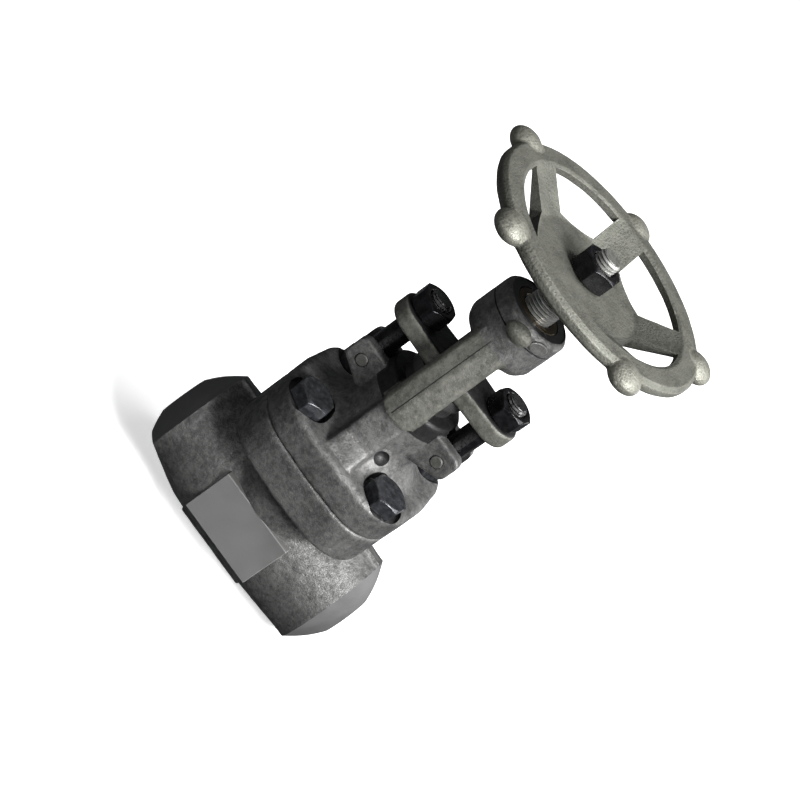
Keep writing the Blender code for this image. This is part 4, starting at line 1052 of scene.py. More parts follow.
@dataclass
class BonnetForging:
    """The bonnet with its neck, lugs, yoke arms and hub."""

    flange: Flange
    face: float = 45.6 * MM
    stock: float = 0.15 * MM
    flange_top: float = 59.3 * MM
    flange_shoulder: float = 3.0 * MM
    flange_rounding: float = 0.8 * MM
    tongue: float = 23.7 * MM
    tongue_end: float = 42.7 * MM
    neck: float = 19.0 * MM
    neck_root: float = 31.0 * MM
    neck_chamfer: float = 1.2 * MM
    fillet: float = 13.0 * MM
    neck_top: float = 91.0 * MM
    box_floor: float = 66.5 * MM
    backseat: float = 11.8 * MM
    backseat_floor: float = 54.0 * MM
    sink: float = 4.0 * MM
    eye_offset: float = 24.3 * MM
    eye_height: float = 80.5 * MM
    lug_above: float = 7.4 * MM
    lug_below: float = 5.4 * MM
    lug_reach: float = 7.0 * MM
    lug_corner: float = 3.6 * MM
    lug_root_drop: float = 3.6 * MM
    lug_half_width: float = 10.0 * MM
    lug_rounding: float = 0.8 * MM
    slot_half_width: float = 5.1 * MM
    slot_clearance: float = 6.6 * MM
    slot_reach: float = 14.0 * MM
    slot_height: float = 15.0 * MM
    pin: float = 2.9 * MM
    pin_reach: float = 20.0 * MM
    rib_half_width: float = 7.5 * MM
    rib_reach: float = 32.6 * MM
    rib_sink: float = 2.2 * MM
    rib_toe: float = 3.5 * MM
    rib_standoff: float = 1.6 * MM
    rib_rounding: float = 1.3 * MM
    rib_blend: Point2 = (11.0 * MM, 17.0 * MM)
    rib_ends: Point2 = (0.8 * MM, 1.0 * MM)
    rib_rounds: int = 24
    arm_half_width: float = 8.6 * MM
    arm_depth: float = 8.0 * MM
    arm_ridge: float = 1.5 * MM
    arm_chamfer: float = 1.6 * MM
    arm_foot: float = 84.0 * MM
    arm_root_drop: float = 8.0 * MM
    arm_corner: float = 5.0 * MM
    arm_reach: float = 26.0 * MM
    arm_top: float = 136.6 * MM
    arm_head_reach: float = 16.4 * MM
    arm_view: float = 60.0 * MM
    hub: float = 16.8 * MM
    hub_bottom: float = 124.0 * MM
    hub_top: float = 147.5 * MM
    hub_chamfer: float = 1.6 * MM
    hub_swell: float = 0.4 * MM
    hub_edge: float = 1.4 * MM
    hub_round: float = 5.0 * MM
    hub_face: float = 14.8 * MM
    groove: float = 140.6 * MM
    groove_depth: float = 0.75 * MM
    groove_mouth: Point2 = (1.5 * MM, 1.0 * MM)
    pocket: float = 10.4 * MM
    pocket_floor: float = 57.3 * MM
    pocket_corner: float = 0.6 * MM
    pocket_rise: float = 18.0 * MM
    bore: float = 13.0 * MM
    stem_bore: float = 7.3 * MM
    bushing: float = 11.0 * MM
    line_offset: float = 1.5 * MM
    line_half_width: float = 0.25 * MM
    line_half_depth: float = 0.5 * MM
    line_ends: Point2 = (1.5 * MM, 8.0 * MM)
    dimple: Point3 = (12.0 * MM, -19.3 * MM, 66.9 * MM)
    dimple_radii: Point3 = (4.3 * MM, 4.3 * MM, 3.4 * MM)
    # Above this height the neck is painted near black: painted shade under the gland plate.
    shade_from: float = 82.0 * MM
    boss_turn: float = radians(-82.0)
    boss_sink: float = 1.5 * MM
    boss_drop: float = 4.9 * MM
    boss_radii: Point3 = (4.2 * MM, 6.0 * MM, 4.3 * MM)
    cell: float = 0.56 * MM
    waviness: float = 0.08 * MM

    def lean(self) -> float:
        """Return how far an arm leans in for each metre of height."""
        return (self.arm_reach - self.arm_head_reach) / (self.arm_top - self.arm_foot)

    def arm(self, bench: Bench, turn: float) -> bpy.types.Object:
        """Make one yoke arm with its ridge and round lower end.

        Args:
            bench: The modelling steps.
            turn: Where it stands round the stem.

        Returns:
            The leaning arm.
        """
        half, front, corner = self.arm_half_width, self.arm_reach, self.arm_chamfer
        side, back = front - self.arm_ridge, front - self.arm_depth
        section = [(0.0, -front), (half - corner, -side), (half, -side + corner),
                   (half, -back), (-half, -back), (-half, -side + corner),
                   (-half + corner, -side)]
        bar = bench.prism("arm", section, self.arm_foot - self.arm_root_drop, self.arm_top)
        shear = Matrix.Identity(4)
        shear[1][2] = self.lean()
        shear[1][3] = -self.lean() * self.arm_foot
        bar.data.transform(shear)
        wide, radius, low = half + 0.5 * PAST, self.arm_corner, self.arm_foot
        high = self.arm_top + 0.5 * PAST
        outline = ([(wide, high), (-wide, high)]
                   + arc((-wide + radius, low + radius), radius, pi, 1.5 * pi)
                   + arc((wide - radius, low + radius), radius, 1.5 * pi, 2.0 * pi))
        front_view = bench.prism("arm_front", outline, 0.0, self.arm_view)
        bench.move(front_view, Matrix.Rotation(0.5 * pi, 4, "X"))
        bench.combine(bar, front_view, "INTERSECT")
        return bench.move(bar, Matrix.Rotation(turn, 4, "Z"))

    def lug(self, bench: Bench, side: int) -> bpy.types.Object:
        """Make one clevis lug.

        Args:
            bench: The modelling steps.
            side: -1 for the left one, 1 for the right one.

        Returns:
            The lug, without its slot.
        """
        root, corner = self.neck - self.sink, self.lug_corner
        top, low = self.eye_height + self.lug_above, self.eye_height - self.lug_below
        inset, foot = self.eye_offset + self.lug_reach - corner, low - self.lug_root_drop
        outline = ([(root, top), (root, foot), (self.neck, foot)]
                   + arc((inset, low + corner), corner, -0.5 * pi, 0.0)
                   + arc((inset, top - corner), corner, 0.0, 0.5 * pi))
        lug = bench.prism("lug", [(side * x, z) for x, z in outline], -self.lug_half_width,
                          self.lug_half_width)
        bench.round_edges(lug, self.lug_rounding, 2)
        return bench.move(lug, Matrix.Rotation(0.5 * pi, 4, "X"))

    def rib(self, bench: Bench, turn: float) -> bpy.types.Object:
        """Make the web from the flange up to an arm's foot.

        Args:
            bench: The modelling steps.
            turn: Where it stands round the stem.

        Returns:
            The web.
        """
        low, inner, reach = self.flange_top - self.rib_sink, self.neck - self.sink, self.rib_reach
        high = self.arm_foot + self.arm_corner
        outline = [(-inner, low), (-inner, high), (-self.neck - self.rib_standoff, high),
                   (-0.5 * (self.neck + reach), self.flange_top + 0.5 * self.fillet),
                   (-reach, low + self.rib_toe), (-reach, low)]
        across = Matrix(((0.0, 0.0, 1.0, 0.0), (1.0, 0.0, 0.0, 0.0), (0.0, 1.0, 0.0, 0.0),
                         (0.0, 0.0, 0.0, 1.0)))
        web = bench.prism("rib", outline, -self.rib_half_width, self.rib_half_width)
        bench.round_edges(web, self.rib_rounding)
        return bench.move(web, Matrix.Rotation(turn, 4, "Z") @ across)

    def blank(self, bench: Bench) -> bpy.types.Object:
        """Forge the outside, before any cut.

        Args:
            bench: The modelling steps.

        Returns:
            The rough forging, with its ribs smoothed.
        """
        flange = bench.prism("flange", self.flange.outline(), self.face - self.stock,
                             self.flange_top)
        bench.pick(flange, lambda place: place.z > 0.5 * (self.face + self.flange_top))
        bpy.ops.mesh.bevel(offset=self.flange_shoulder, segments=5, affect="EDGES")
        bench.tidy_normals()
        bench.round_edges(flange, self.flange_rounding, 2)
        waist, chamfer = self.flange_top + self.fillet, self.neck_chamfer
        steps = [index / 10.0 for index in range(11)]
        curve = [(self.neck_root - (self.neck_root - self.neck) * sin(0.5 * pi * part),
                  waist - self.fillet * cos(0.5 * pi * part)) for part in reversed(steps)]
        neck = bench.turned("neck", [(self.neck - chamfer, self.neck_top),
                                     (self.neck, self.neck_top - chamfer), *curve,
                                     (self.neck_root, self.face + 2.0 * PAST)], steps=96)
        tongue = bench.rod("tongue", 25.0 * MM, (0.0, 0.0, 40.0 * MM),
                           (0.0, 0.0, self.face + 1.5 * PAST), steps=72)
        low, curl = self.hub_bottom, self.hub_round
        hub = bench.turned("hub", [(self.hub - self.hub_chamfer, self.hub_top + self.hub_swell),
                                   (self.hub, self.hub_top - self.hub_edge),
                                   (self.hub, low + curl),
                                   (self.hub - 0.3 * curl, low + 0.4 * curl),
                                   (self.hub - curl, low)], steps=96)
        parts = [flange, neck, tongue, hub, self.lug(bench, -1), self.lug(bench, 1),
                 self.rib(bench, 0.0), self.rib(bench, pi), self.arm(bench, 0.0),
                 self.arm(bench, pi)]
        blank = bench.forge(parts, self.cell, 3, self.waviness)
        bench.soften(blank, self.on_rib, self.rib_rounds)
        return blank

    def on_rib(self, place: Vector) -> bool:
        """Tell whether a place is on a rib or where it runs out.

        Args:
            place: A vertex's place, from the pipe axis.

        Returns:
            Whether it is smoothed with the rib.
        """
        wide, inner = self.rib_blend
        above, below = self.rib_ends
        return (self.flange_top + above < place.z < self.arm_foot - below
                and abs(place.x) < wide and abs(place.y) > inner)

    def bore_tool(self, bench: Bench) -> bpy.types.Object:
        """Make the cutter of the joint face, the tongue and the bores up to the neck's top.

        Args:
            bench: The modelling steps.

        Returns:
            The cutter.
        """
        past, low, foot = 70.0 * MM, 30.0 * MM, 35.0 * MM
        underside = bench.turned("underside", [(NEAR_AXIS, self.tongue_end),
                                               (self.tongue, self.tongue_end),
                                               (self.tongue, self.face), (past, self.face),
                                               (past, low), (NEAR_AXIS, low)], steps=72)
        box = bench.turned("box", [(self.bore, self.neck_top + PAST),
                                   (self.bore, self.box_floor),
                                   (self.stem_bore, self.box_floor),
                                   (self.stem_bore, self.backseat_floor),
                                   (self.backseat, self.backseat_floor),
                                   (self.backseat, foot)], steps=64)
        return bench.combine(underside, box, "UNION")

    def cutters(self, bench: Bench) -> bpy.types.Object:
        """Make every cutter of the bonnet.

        Args:
            bench: The modelling steps.

        Returns:
            The cutters in one object.
        """
        bores = self.bore_tool(bench)
        top = bench.turned("hub_face", [(self.hub_face, self.hub_top + 1.5 * PAST),
                                        (self.hub_face, self.hub_top),
                                        (self.bushing, self.hub_top),
                                        (self.bushing, self.hub_bottom - PAST)], steps=72)
        out, half = self.groove_mouth
        groove = bench.turned("groove", [(self.hub - self.groove_depth, self.groove),
                                         (self.hub + out, self.groove + half),
                                         (self.hub + out, self.groove - half)],
                              steps=96, ring=True)
        tools = [bores, top, groove]
        corner = self.pocket_corner
        for x, y in self.flange.bolts():
            pocket = bench.turned("pocket", [(self.flange.tapping, self.face - PAST),
                                             (self.flange.tapping, self.pocket_floor),
                                             (self.pocket - corner, self.pocket_floor),
                                             (self.pocket, self.pocket_floor + corner),
                                             (self.pocket, self.flange_top + self.pocket_rise)],
                                  steps=64)
            tools.append(bench.move(pocket, Matrix.Translation((x, y, 0.0))))
        for name, side in SIDES:
            low, high = sorted((side * (self.eye_offset - self.slot_clearance),
                                side * (self.eye_offset + self.slot_reach)))
            slot = bench.block(f"slot_{name}", (low, -self.slot_half_width,
                                                self.eye_height - self.slot_clearance),
                               (high, self.slot_half_width, self.eye_height + self.slot_height))
            x = side * self.eye_offset
            pin = bench.rod(f"pin_hole_{name}", self.pin, (x, -self.pin_reach, self.eye_height),
                            (x, self.pin_reach, self.eye_height), steps=40)
            tools.append(bench.combine(slot, pin, "UNION"))
        return bench.paint(bench.gather(tools), BORED)

    def marks(self, bench: Bench) -> bpy.types.Object:
        """Make the cutters of the arms' parting lines and of the punched dimples.

        Args:
            bench: The modelling steps.

        Returns:
            The cutters in one object.
        """
        tools = []
        above_foot, above_hub = self.line_ends
        low, high = self.arm_foot + above_foot, self.hub_bottom + above_hub
        front = self.arm_reach - self.lean() * (low - self.arm_foot)
        wide, deep = self.line_half_width, self.line_half_depth
        shear = Matrix.Identity(4)
        shear[1][2] = self.lean()
        for turn in (0.0, pi):
            line = bench.block("line", (-wide, -deep, 0.0), (wide, deep, high - low))
            line.data.transform(shear)
            bench.move(line, Matrix.Rotation(turn, 4, "Z")
                       @ Matrix.Translation((-self.line_offset, -front + 0.5 * deep, low)))
            tools.append(bench.paint(line, BORED))
            # The dimple's cutter leaves its hollow near black: painted shade in the recess.
            dimple = bench.ball("dimple", self.dimple_radii,
                                Matrix.Rotation(turn, 4, "Z")
                                @ Matrix.Translation(self.dimple), steps=48)
            tools.append(bench.paint(dimple, SHADE_FORGED))
        return bench.gather(tools)

    def finish_of(self, middle: Vector) -> Finish:
        """Choose the finish of the forged skin at a place.

        Args:
            middle: The middle of a face.

        Returns:
            Near black round the packing as painted shade, olive on the arms, forged grey
            elsewhere.
        """
        from_stem = hypot(middle.x, middle.y)
        margin = 1.0 * MM
        in_width = abs(middle.x) < self.arm_half_width + 0.6 * margin
        clear_of_hub = from_stem > self.hub - margin
        in_height = self.arm_foot - margin < middle.z < self.hub_bottom + 6.0 * margin
        below_hub = middle.z < self.hub_bottom + margin
        beside_stem = abs(middle.y) > 10.0 * margin
        if in_width and in_height and beside_stem and (clear_of_hub or below_hub):
            return OLIVE
        # The neck under the gland plate is painted near black: painted shade.
        on_neck = from_stem < self.neck + 0.5 * margin
        if on_neck and self.shade_from < middle.z < self.neck_top + margin:
            return SHADE_FORGED
        return FORGED

    def build(self, bench: Bench) -> None:
        """Forge and machine the bonnet.

        Args:
            bench: The modelling steps.
        """
        blank = bench.paint(self.blank(bench), FORGED)
        skins = [FORGED, OLIVE, SHADE_FORGED]
        for skin in skins[1:]:
            blank.data.materials.append(bench.wardrobe.material(skin))
        for face in blank.data.polygons:
            face.material_index = skins.index(self.finish_of(face.center))
        bench.combine(blank, self.cutters(bench), "DIFFERENCE")
        bench.combine(blank, self.marks(bench), "DIFFERENCE")
        place = (Matrix.Rotation(self.boss_turn, 4, "Z")
                 @ Matrix.Translation((self.hub - self.boss_sink, 0.0,
                                       self.hub_top - self.boss_drop)))
        boss = bench.ball("boss", self.boss_radii, place, steps=48)
        bench.combine(blank, bench.paint(boss, CAST), "UNION")
        bench.settle(blank, "bonnet_forging", "valve_body", ["bonnet"])


@dataclass
class Fastener:
    """A hexagon with chamfered corners, as a bolt head or a nut."""

    flats: float
    height: float
    bore: float = 0.0
    chamfer: float = 1.3 * MM
    edge: float = 0.22 * MM
    mouth: float = 0.7 * MM
    past: float = 0.01 * MM
    cell: float = 0.25 * MM
    waviness: float = 0.01 * MM

    def build(self, bench: Bench, name: str, both: bool) -> bpy.types.Object:
        """Make the hexagon standing on its origin.

        Args:
            bench: The modelling steps.
            name: The object's name.
            both: Whether the lower corners are chamfered as well.

        Returns:
            The hexagon, bored if it has a bore.
        """
        blank = bench.prism(name, hexagon(self.flats), 0.0, self.height)
        bench.round_edges(blank, self.edge, 2)
        inner, outer = 0.475 * self.flats, 0.6 * self.flats
        low = [(inner, -self.past), (outer, self.chamfer)] if both else [(outer, -self.past)]
        crown = bench.turned("crown", [*low, (outer, self.height - self.chamfer),
                                       (inner, self.height + self.past)], steps=72)
        bench.combine(blank, crown, "INTERSECT")
        if self.bore > 0.0:
            wide, mouth, past = self.bore + 1.2 * MM, self.mouth, 0.5 * MM
            drill = bench.turned("drill", [(wide, -past), (self.bore, mouth),
                                           (self.bore, self.height - mouth),
                                           (wide, self.height + past)], steps=48)
            bench.combine(blank, drill, "DIFFERENCE")
        return blank

    def finish(self, bench: Bench, blank: bpy.types.Object, finish: Finish) -> bpy.types.Object:
        """Break every edge as tumbling does, and blacken the fastener."""
        return bench.paint(bench.forge([blank], self.cell, 2, self.waviness), finish)


@dataclass
class BonnetBolting:
    """The four cap screws in their pockets."""

    flange: Flange
    flats: float = 16.0 * MM
    height: float = 6.6 * MM
    seat: float = 57.6 * MM
    washer: float = 7.6 * MM
    washer_edge: float = 0.3 * MM
    washer_rise: Point2 = (0.2 * MM, 0.7 * MM)
    radius: float = 5.0 * MM
    length: float = 25.5 * MM
    tip: float = 1.0 * MM
    dish: float = 9.0 * MM
    dish_height: float = 15.2 * MM
    turns: tuple[float, ...] = (4.0, -7.0, 19.0, 11.0)

    def screw(self, bench: Bench) -> bpy.types.Object:
        """Make one cap screw on its origin.

        Args:
            bench: The modelling steps.

        Returns:
            The screw, its head dished in the middle.
        """
        kind = Fastener(self.flats, self.height)
        head = kind.build(bench, "cap_screw", False)
        low, high = self.washer_rise
        washer = bench.turned("washer_face", [(self.washer - self.washer_edge, 0.0),
                                              (self.washer, low), (self.washer, high)], steps=48)
        shank = bench.turned("shank", [(self.radius, 3.0 * self.tip),
                                       (self.radius, self.tip - self.length),
                                       (self.radius - self.tip, -self.length)], steps=32)
        bench.combine(washer, shank, "UNION")
        bench.combine(head, washer, "UNION")
        dish = bench.ball("dish", (self.dish, self.dish, self.dish),
                          Matrix.Translation((0.0, 0.0, self.dish_height)), steps=48)
        bench.combine(head, dish, "DIFFERENCE")
        # The screw gets the lighter black: painted reflection on its flats.
        return kind.finish(bench, head, SCREW)

    def build(self, bench: Bench) -> None:
        """Copy the screw to the four holes.

        Args:
            bench: The modelling steps.
        """
        pattern = self.screw(bench)
        for number, ((x, y), turn) in enumerate(zip(self.flange.bolts(), self.turns), start=1):
            screw = pattern.copy()
            screw.data = pattern.data.copy()
            bpy.context.scene.collection.objects.link(screw)
            bench.move(screw, Matrix.Translation((x, y, self.seat))
                       @ Matrix.Rotation(radians(turn), 4, "Z"))
            bench.settle(screw, f"cap_screw_{number}", "valve_body",
                         [f"bonnet_bolt_{number}"])
        bpy.data.objects.remove(pattern, do_unlink=True)


@dataclass
class GlandSet:
    """The gland plate with its eyebolts, pins and nuts."""

    eye_offset: float = 24.3 * MM
    eye_height: float = 80.5 * MM
    eye: float = 6.0 * MM
    eye_half_width: float = 4.8 * MM
    eye_rounding: float = 1.2 * MM
    eye_bore: float = 2.9 * MM
    radius: float = 5.0 * MM
    thread_depth: float = 0.9 * MM
    pitch: float = 1.5 * MM
    crest: float = 0.18
    bolt_top: float = 119.3 * MM
    shank_foot: float = 4.2 * MM
    plate_bottom: float = 101.3 * MM
    plate_top: float = 109.3 * MM
    plate_rounding: float = 1.5 * MM
    plate_bore: float = 8.3 * MM
    drill_low: float = 95.0 * MM
    drill_high: float = 115.0 * MM
    drill_reach: float = 10.0 * MM
    cell: float = 0.45 * MM
    waviness: float = 0.06 * MM
    shade_slope: float = 0.8
    ear: float = 10.0 * MM
    waist: float = 11.5 * MM
    pin: float = 2.6 * MM
    pin_half_length: float = 10.5 * MM
    pin_rounding: float = 0.5 * MM
    nut_bottom: float = 109.6 * MM
    nut_flats: float = 16.0 * MM
    nut_height: float = 8.0 * MM
    nut_turns: tuple[float, float] = (8.0, -14.0)

    def outline(self) -> list[Point2]:
        """Draw the plate's two round ears and its waist.

        Returns:
            The outline's points.
        """
        lean = atan2(self.waist - self.ear, self.eye_offset)
        quarter = 0.5 * pi
        return (arc((self.eye_offset, 0.0), self.ear, lean - quarter, quarter - lean)
                + arc((0.0, 0.0), self.waist, quarter - lean, quarter + lean)
                + arc((-self.eye_offset, 0.0), self.ear, quarter + lean, 3.0 * quarter - lean)
                + arc((0.0, 0.0), self.waist, 3.0 * quarter - lean, 3.0 * quarter + lean))

    def plate(self, bench: Bench) -> None:
        """Make the two-eared plate.

        Args:
            bench: The modelling steps.
        """
        plate = bench.prism("plate", self.outline(), self.plate_bottom, self.plate_top)
        bench.round_edges(plate, self.plate_rounding, 4)
        plate = bench.forge([plate], self.cell, 2, self.waviness)
        bench.paint(plate, OLIVE)
        # Faces that look up are painted near black: painted shade on the plate's top under the
        # handwheel.
        plate.data.materials.append(bench.wardrobe.material(SHADE_FORGED))
        for face in plate.data.polygons:
            if face.normal.z > self.shade_slope:
                face.material_index = 1
        drills = [("stem_hole", self.plate_bore, 0.0)]
        drills += [(f"ear_hole_{name}", self.radius + GAP, side * self.eye_offset)
                   for name, side in SIDES]
        holes = [bench.rod(name, radius, (x, 0.0, self.drill_low), (x, 0.0, self.drill_high))
                 for name, radius, x in drills]
        bench.combine(plate, bench.paint(bench.gather(holes), BORED), "DIFFERENCE")
        bench.settle(plate, "gland_plate", "gland", ["gland_flange"])

    def swing_bolt(self, bench: Bench, x: float) -> bpy.types.Object:
        """Make one eyebolt with its thread.

        Args:
            bench: The modelling steps.
            x: Where it stands.

        Returns:
            The eyebolt, its eye bored.
        """
        eye = bench.rod("eye", self.eye, (x, -self.eye_half_width, self.eye_height),
                        (x, self.eye_half_width, self.eye_height), steps=64)
        bench.round_edges(eye, self.eye_rounding)
        radius, root = self.radius, self.radius - self.thread_depth
        top, low = self.bolt_top, self.plate_bottom - 1.0 * MM
        shank = bench.turned("shank", [(root - 0.3 * MM, top), (root, top - 0.6 * MM),
                                       (root, low), (radius, low - 0.8 * MM),
                                       (radius, self.eye_height + self.shank_foot)], steps=48)
        thread = bench.thread("thread", radius - 0.05 * MM, root, self.pitch, low,
                              top + 1.0 * MM, self.crest, steps=32)
        trim = bench.turned("trim", [(radius - 1.1 * MM, top - 0.1 * MM),
                                     (radius, top - 1.2 * MM), (radius, low - 0.3 * MM)],
                            steps=48)
        bench.combine(thread, trim, "INTERSECT")
        for part in (shank, thread):
            bench.move(part, Matrix.Translation((x, 0.0, 0.0)))
        bench.combine(eye, shank, "UNION")
        hole = bench.rod("hole", self.eye_bore, (x, -self.drill_reach, self.eye_height),
                         (x, self.drill_reach, self.eye_height), steps=40)
        bench.combine(eye, hole, "DIFFERENCE")
        return bench.paint(bench.gather([eye, thread]), BLACK)

    def build(self, bench: Bench) -> None:
        """Make the plate, then each side's eyebolt, pin and nut.

        Args:
            bench: The modelling steps.
        """
        self.plate(bench)
        for (name, side), turn in zip(SIDES, self.nut_turns):
            x = side * self.eye_offset
            bench.settle(self.swing_bolt(bench, x), f"swing_bolt_{name}", "valve_body",
                         [f"eyebolt_{name}"])
            pin = bench.rod("pin", self.pin, (x, -self.pin_half_length, self.eye_height),
                            (x, self.pin_half_length, self.eye_height), steps=40)
            bench.round_edges(pin, self.pin_rounding)
            bench.settle(bench.paint(pin, DULL_PIN), f"clevis_pin_{name}", "valve_body",
                         [f"eyebolt_pin_{name}"])
            kind = Fastener(self.nut_flats, self.nut_height, self.radius + GAP)
            nut = kind.finish(bench, kind.build(bench, "gland_nut", True), BLACK)
            bench.move(nut, Matrix.Translation((x, 0.0, self.nut_bottom))
                       @ Matrix.Rotation(radians(turn), 4, "Z"))
            bench.settle(nut, f"hex_nut_{name}", f"{name}_gland_nut",
                         [f"gland_nut_{name}"])


@dataclass
class StemAndWheel:
    """The stem with its thread, the handwheel and its nut."""

    stem: float = 7.0 * MM
    core: float = 5.9 * MM
    core_skin: float = 0.12 * MM
    lead: float = 3.0 * MM
    starts: int = 2
    crest: float = 0.15
    thread_low: float = 119.5 * MM
    collar: float = 9.0 * MM
    collar_height: float = 3.5 * MM
    shoulder: float = 159.5 * MM
    waist: float = 4.7 * MM
    button: float = 7.5 * MM
    button_height: float = 3.5 * MM
    square: float = 10.0 * MM
    square_rounding: float = 1.0 * MM
    stub: float = 5.0 * MM
    stub_depth: float = 0.9 * MM
    stub_pitch: float = 1.5 * MM
    stub_crest: float = 0.18
    top: float = 183.6 * MM
    wheel_bottom: float = 159.8 * MM
    plate_top: float = 170.8 * MM
    plate_thickness: float = 5.5 * MM
    plate: float = 29.0 * MM
    boss: float = 11.0 * MM
    boss_flare: float = 3.0 * MM
    rim: float = 49.2 * MM
    rim_width: float = 11.2 * MM
    rim_thickness: float = 6.0 * MM
    rim_lip: float = 3.0 * MM
    rim_edge: float = 1.6 * MM
    rim_heel: float = 4.5 * MM
    dish: float = 6.2 * MM
    cell: float = 0.5 * MM
    waviness: float = 0.07 * MM
    spoke: float = 11.0 * MM
    window_rounding: float = 2.5 * MM
    window_bite: float = 0.3 * MM
    lobes: int = 5
    lobe: float = 7.6 * MM
    lobe_height: float = 9.5 * MM
    lobe_centre: float = 55.2 * MM
    turn: float = radians(2.8)
    nut_flats: float = 17.0 * MM
    nut_height: float = 8.5 * MM

    def shank(self, bench: Bench) -> bpy.types.Object:
        """Turn the stem's blank with its collar, button, square and stub.

        Args:
            bench: The modelling steps.

        Returns:
            The blank, without its threads.
        """
        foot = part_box("stem")[0].z - AXIS_HEIGHT
        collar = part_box("backseat_bush")[0].z - AXIS_HEIGHT - GAP
        under_collar, over_button = collar - self.collar_height, foot + self.button_height
        shank = bench.turned("shank", [
            (self.stem - 1.4 * MM, self.shoulder), (self.core, self.shoulder - 0.6 * MM),
            (self.core, self.thread_low + 1.5 * MM), (self.stem, self.thread_low),
            (self.stem, collar + 2.0 * MM), (self.collar, collar), (self.collar, under_collar),
            (self.waist, under_collar), (self.waist, over_button), (self.button, over_button),
            (self.button, foot)], steps=72)
        half = 0.5 * self.square
        square = bench.block("square", (-half, -half, self.shoulder - 1.0 * MM),
                             (half, half, self.plate_top - 0.5 * MM), self.square_rounding)
        root = self.stub - self.stub_depth
        stub = bench.turned("stub", [(root - 0.2 * MM, self.top), (root, self.top - 0.5 * MM),
                                     (root, self.shoulder)], steps=48)
        bench.combine(square, stub, "UNION")
        bench.paint(shank, BRIGHT)
        return bench.combine(shank, bench.paint(square, DULL_PIN), "UNION")

    def lead_thread(self, bench: Bench, start: int) -> bpy.types.Object:
        """Wind one start of the thread that lifts the stem.

        Args:
            bench: The modelling steps.
            start: Which start it is, from 0.

        Returns:
            The polished helix.
        """
        thread = bench.thread("thread", self.stem - 0.02 * MM, self.core, self.lead,
                              self.thread_low + 0.5 * MM, self.shoulder + 1.0 * MM, self.crest,
                              steps=48, share=1.0 / self.starts)
        bench.move(thread, Matrix.Rotation(start * tau / self.starts, 4, "Z"))
        trim = bench.turned("trim", [(self.core, self.shoulder),
                                     (self.stem, self.shoulder - 1.2 * MM),
                                     (self.stem, self.thread_low)], steps=72)
        bench.combine(thread, trim, "INTERSECT")
        return bench.paint(thread, POLISHED)

    def stub_thread(self, bench: Bench) -> bpy.types.Object:
        """Wind the fine thread for the wheel nut.

        Args:
            bench: The modelling steps.

        Returns:
            The helix.
        """
        fine = bench.thread("fine", self.stub - 0.03 * MM, self.stub - self.stub_depth,
                            self.stub_pitch, self.plate_top, self.top + 1.0 * MM,
                            self.stub_crest, steps=32)
        tip = bench.turned("tip", [(self.stub - 1.0 * MM, self.top - 0.1 * MM),
                                   (self.stub, self.top - 1.1 * MM),
                                   (self.stub, self.plate_top - 0.4 * MM)], steps=48)
        bench.combine(fine, tip, "INTERSECT")
        return bench.paint(fine, BRIGHT)

    def make_stem(self, bench: Bench) -> None:
        """Turn the stem and wind its two threads.

        Args:
            bench: The modelling steps.
        """
        shank = self.shank(bench)
        skin, low = self.core + self.core_skin, self.thread_low
        core = bench.turned("core", [(self.core, self.shoulder - 0.7 * MM),
                                     (skin, self.shoulder - 1.0 * MM), (skin, low + 1.0 * MM),
                                     (self.core, low + 0.7 * MM)], steps=72)
        # The skin in the thread roots is painted near black: painted shade between the crests.
        bench.paint(core, SHADE_STEEL)
        threads = [self.lead_thread(bench, start) for start in range(self.starts)]
        stem = bench.gather([shank, core, *threads, self.stub_thread(bench)])
        bench.settle(stem, "stem_threaded", "stem_assembly", ["stem"])

    def window(self, bench: Bench, angle: float) -> bpy.types.Object:
        """Make the cutter of one opening between two spokes.

        Args:
            bench: The modelling steps.
            angle: Where the middle of the opening lies.

        Returns:
            The cutter.
        """
        half_sector, spoke = pi / self.lobes, 0.5 * self.spoke + self.window_rounding
        inner, outer = self.plate, self.rim - 0.5 * self.rim_width + self.window_bite
        inner_turn = half_sector - spoke / inner
        outer_turn = half_sector - spoke / outer
        outline = (arc((0.0, 0.0), outer, -outer_turn, outer_turn, radians(4.0))
                   + [(inner * cos(inner_turn), inner * sin(inner_turn)),
                      (inner * cos(inner_turn), -inner * sin(inner_turn))])
        tool = bench.prism("window", outline, self.wheel_bottom - 5.0 * MM,
                           self.plate_top + 20.0 * MM)
        return bench.move(tool, Matrix.Rotation(angle, 4, "Z"))

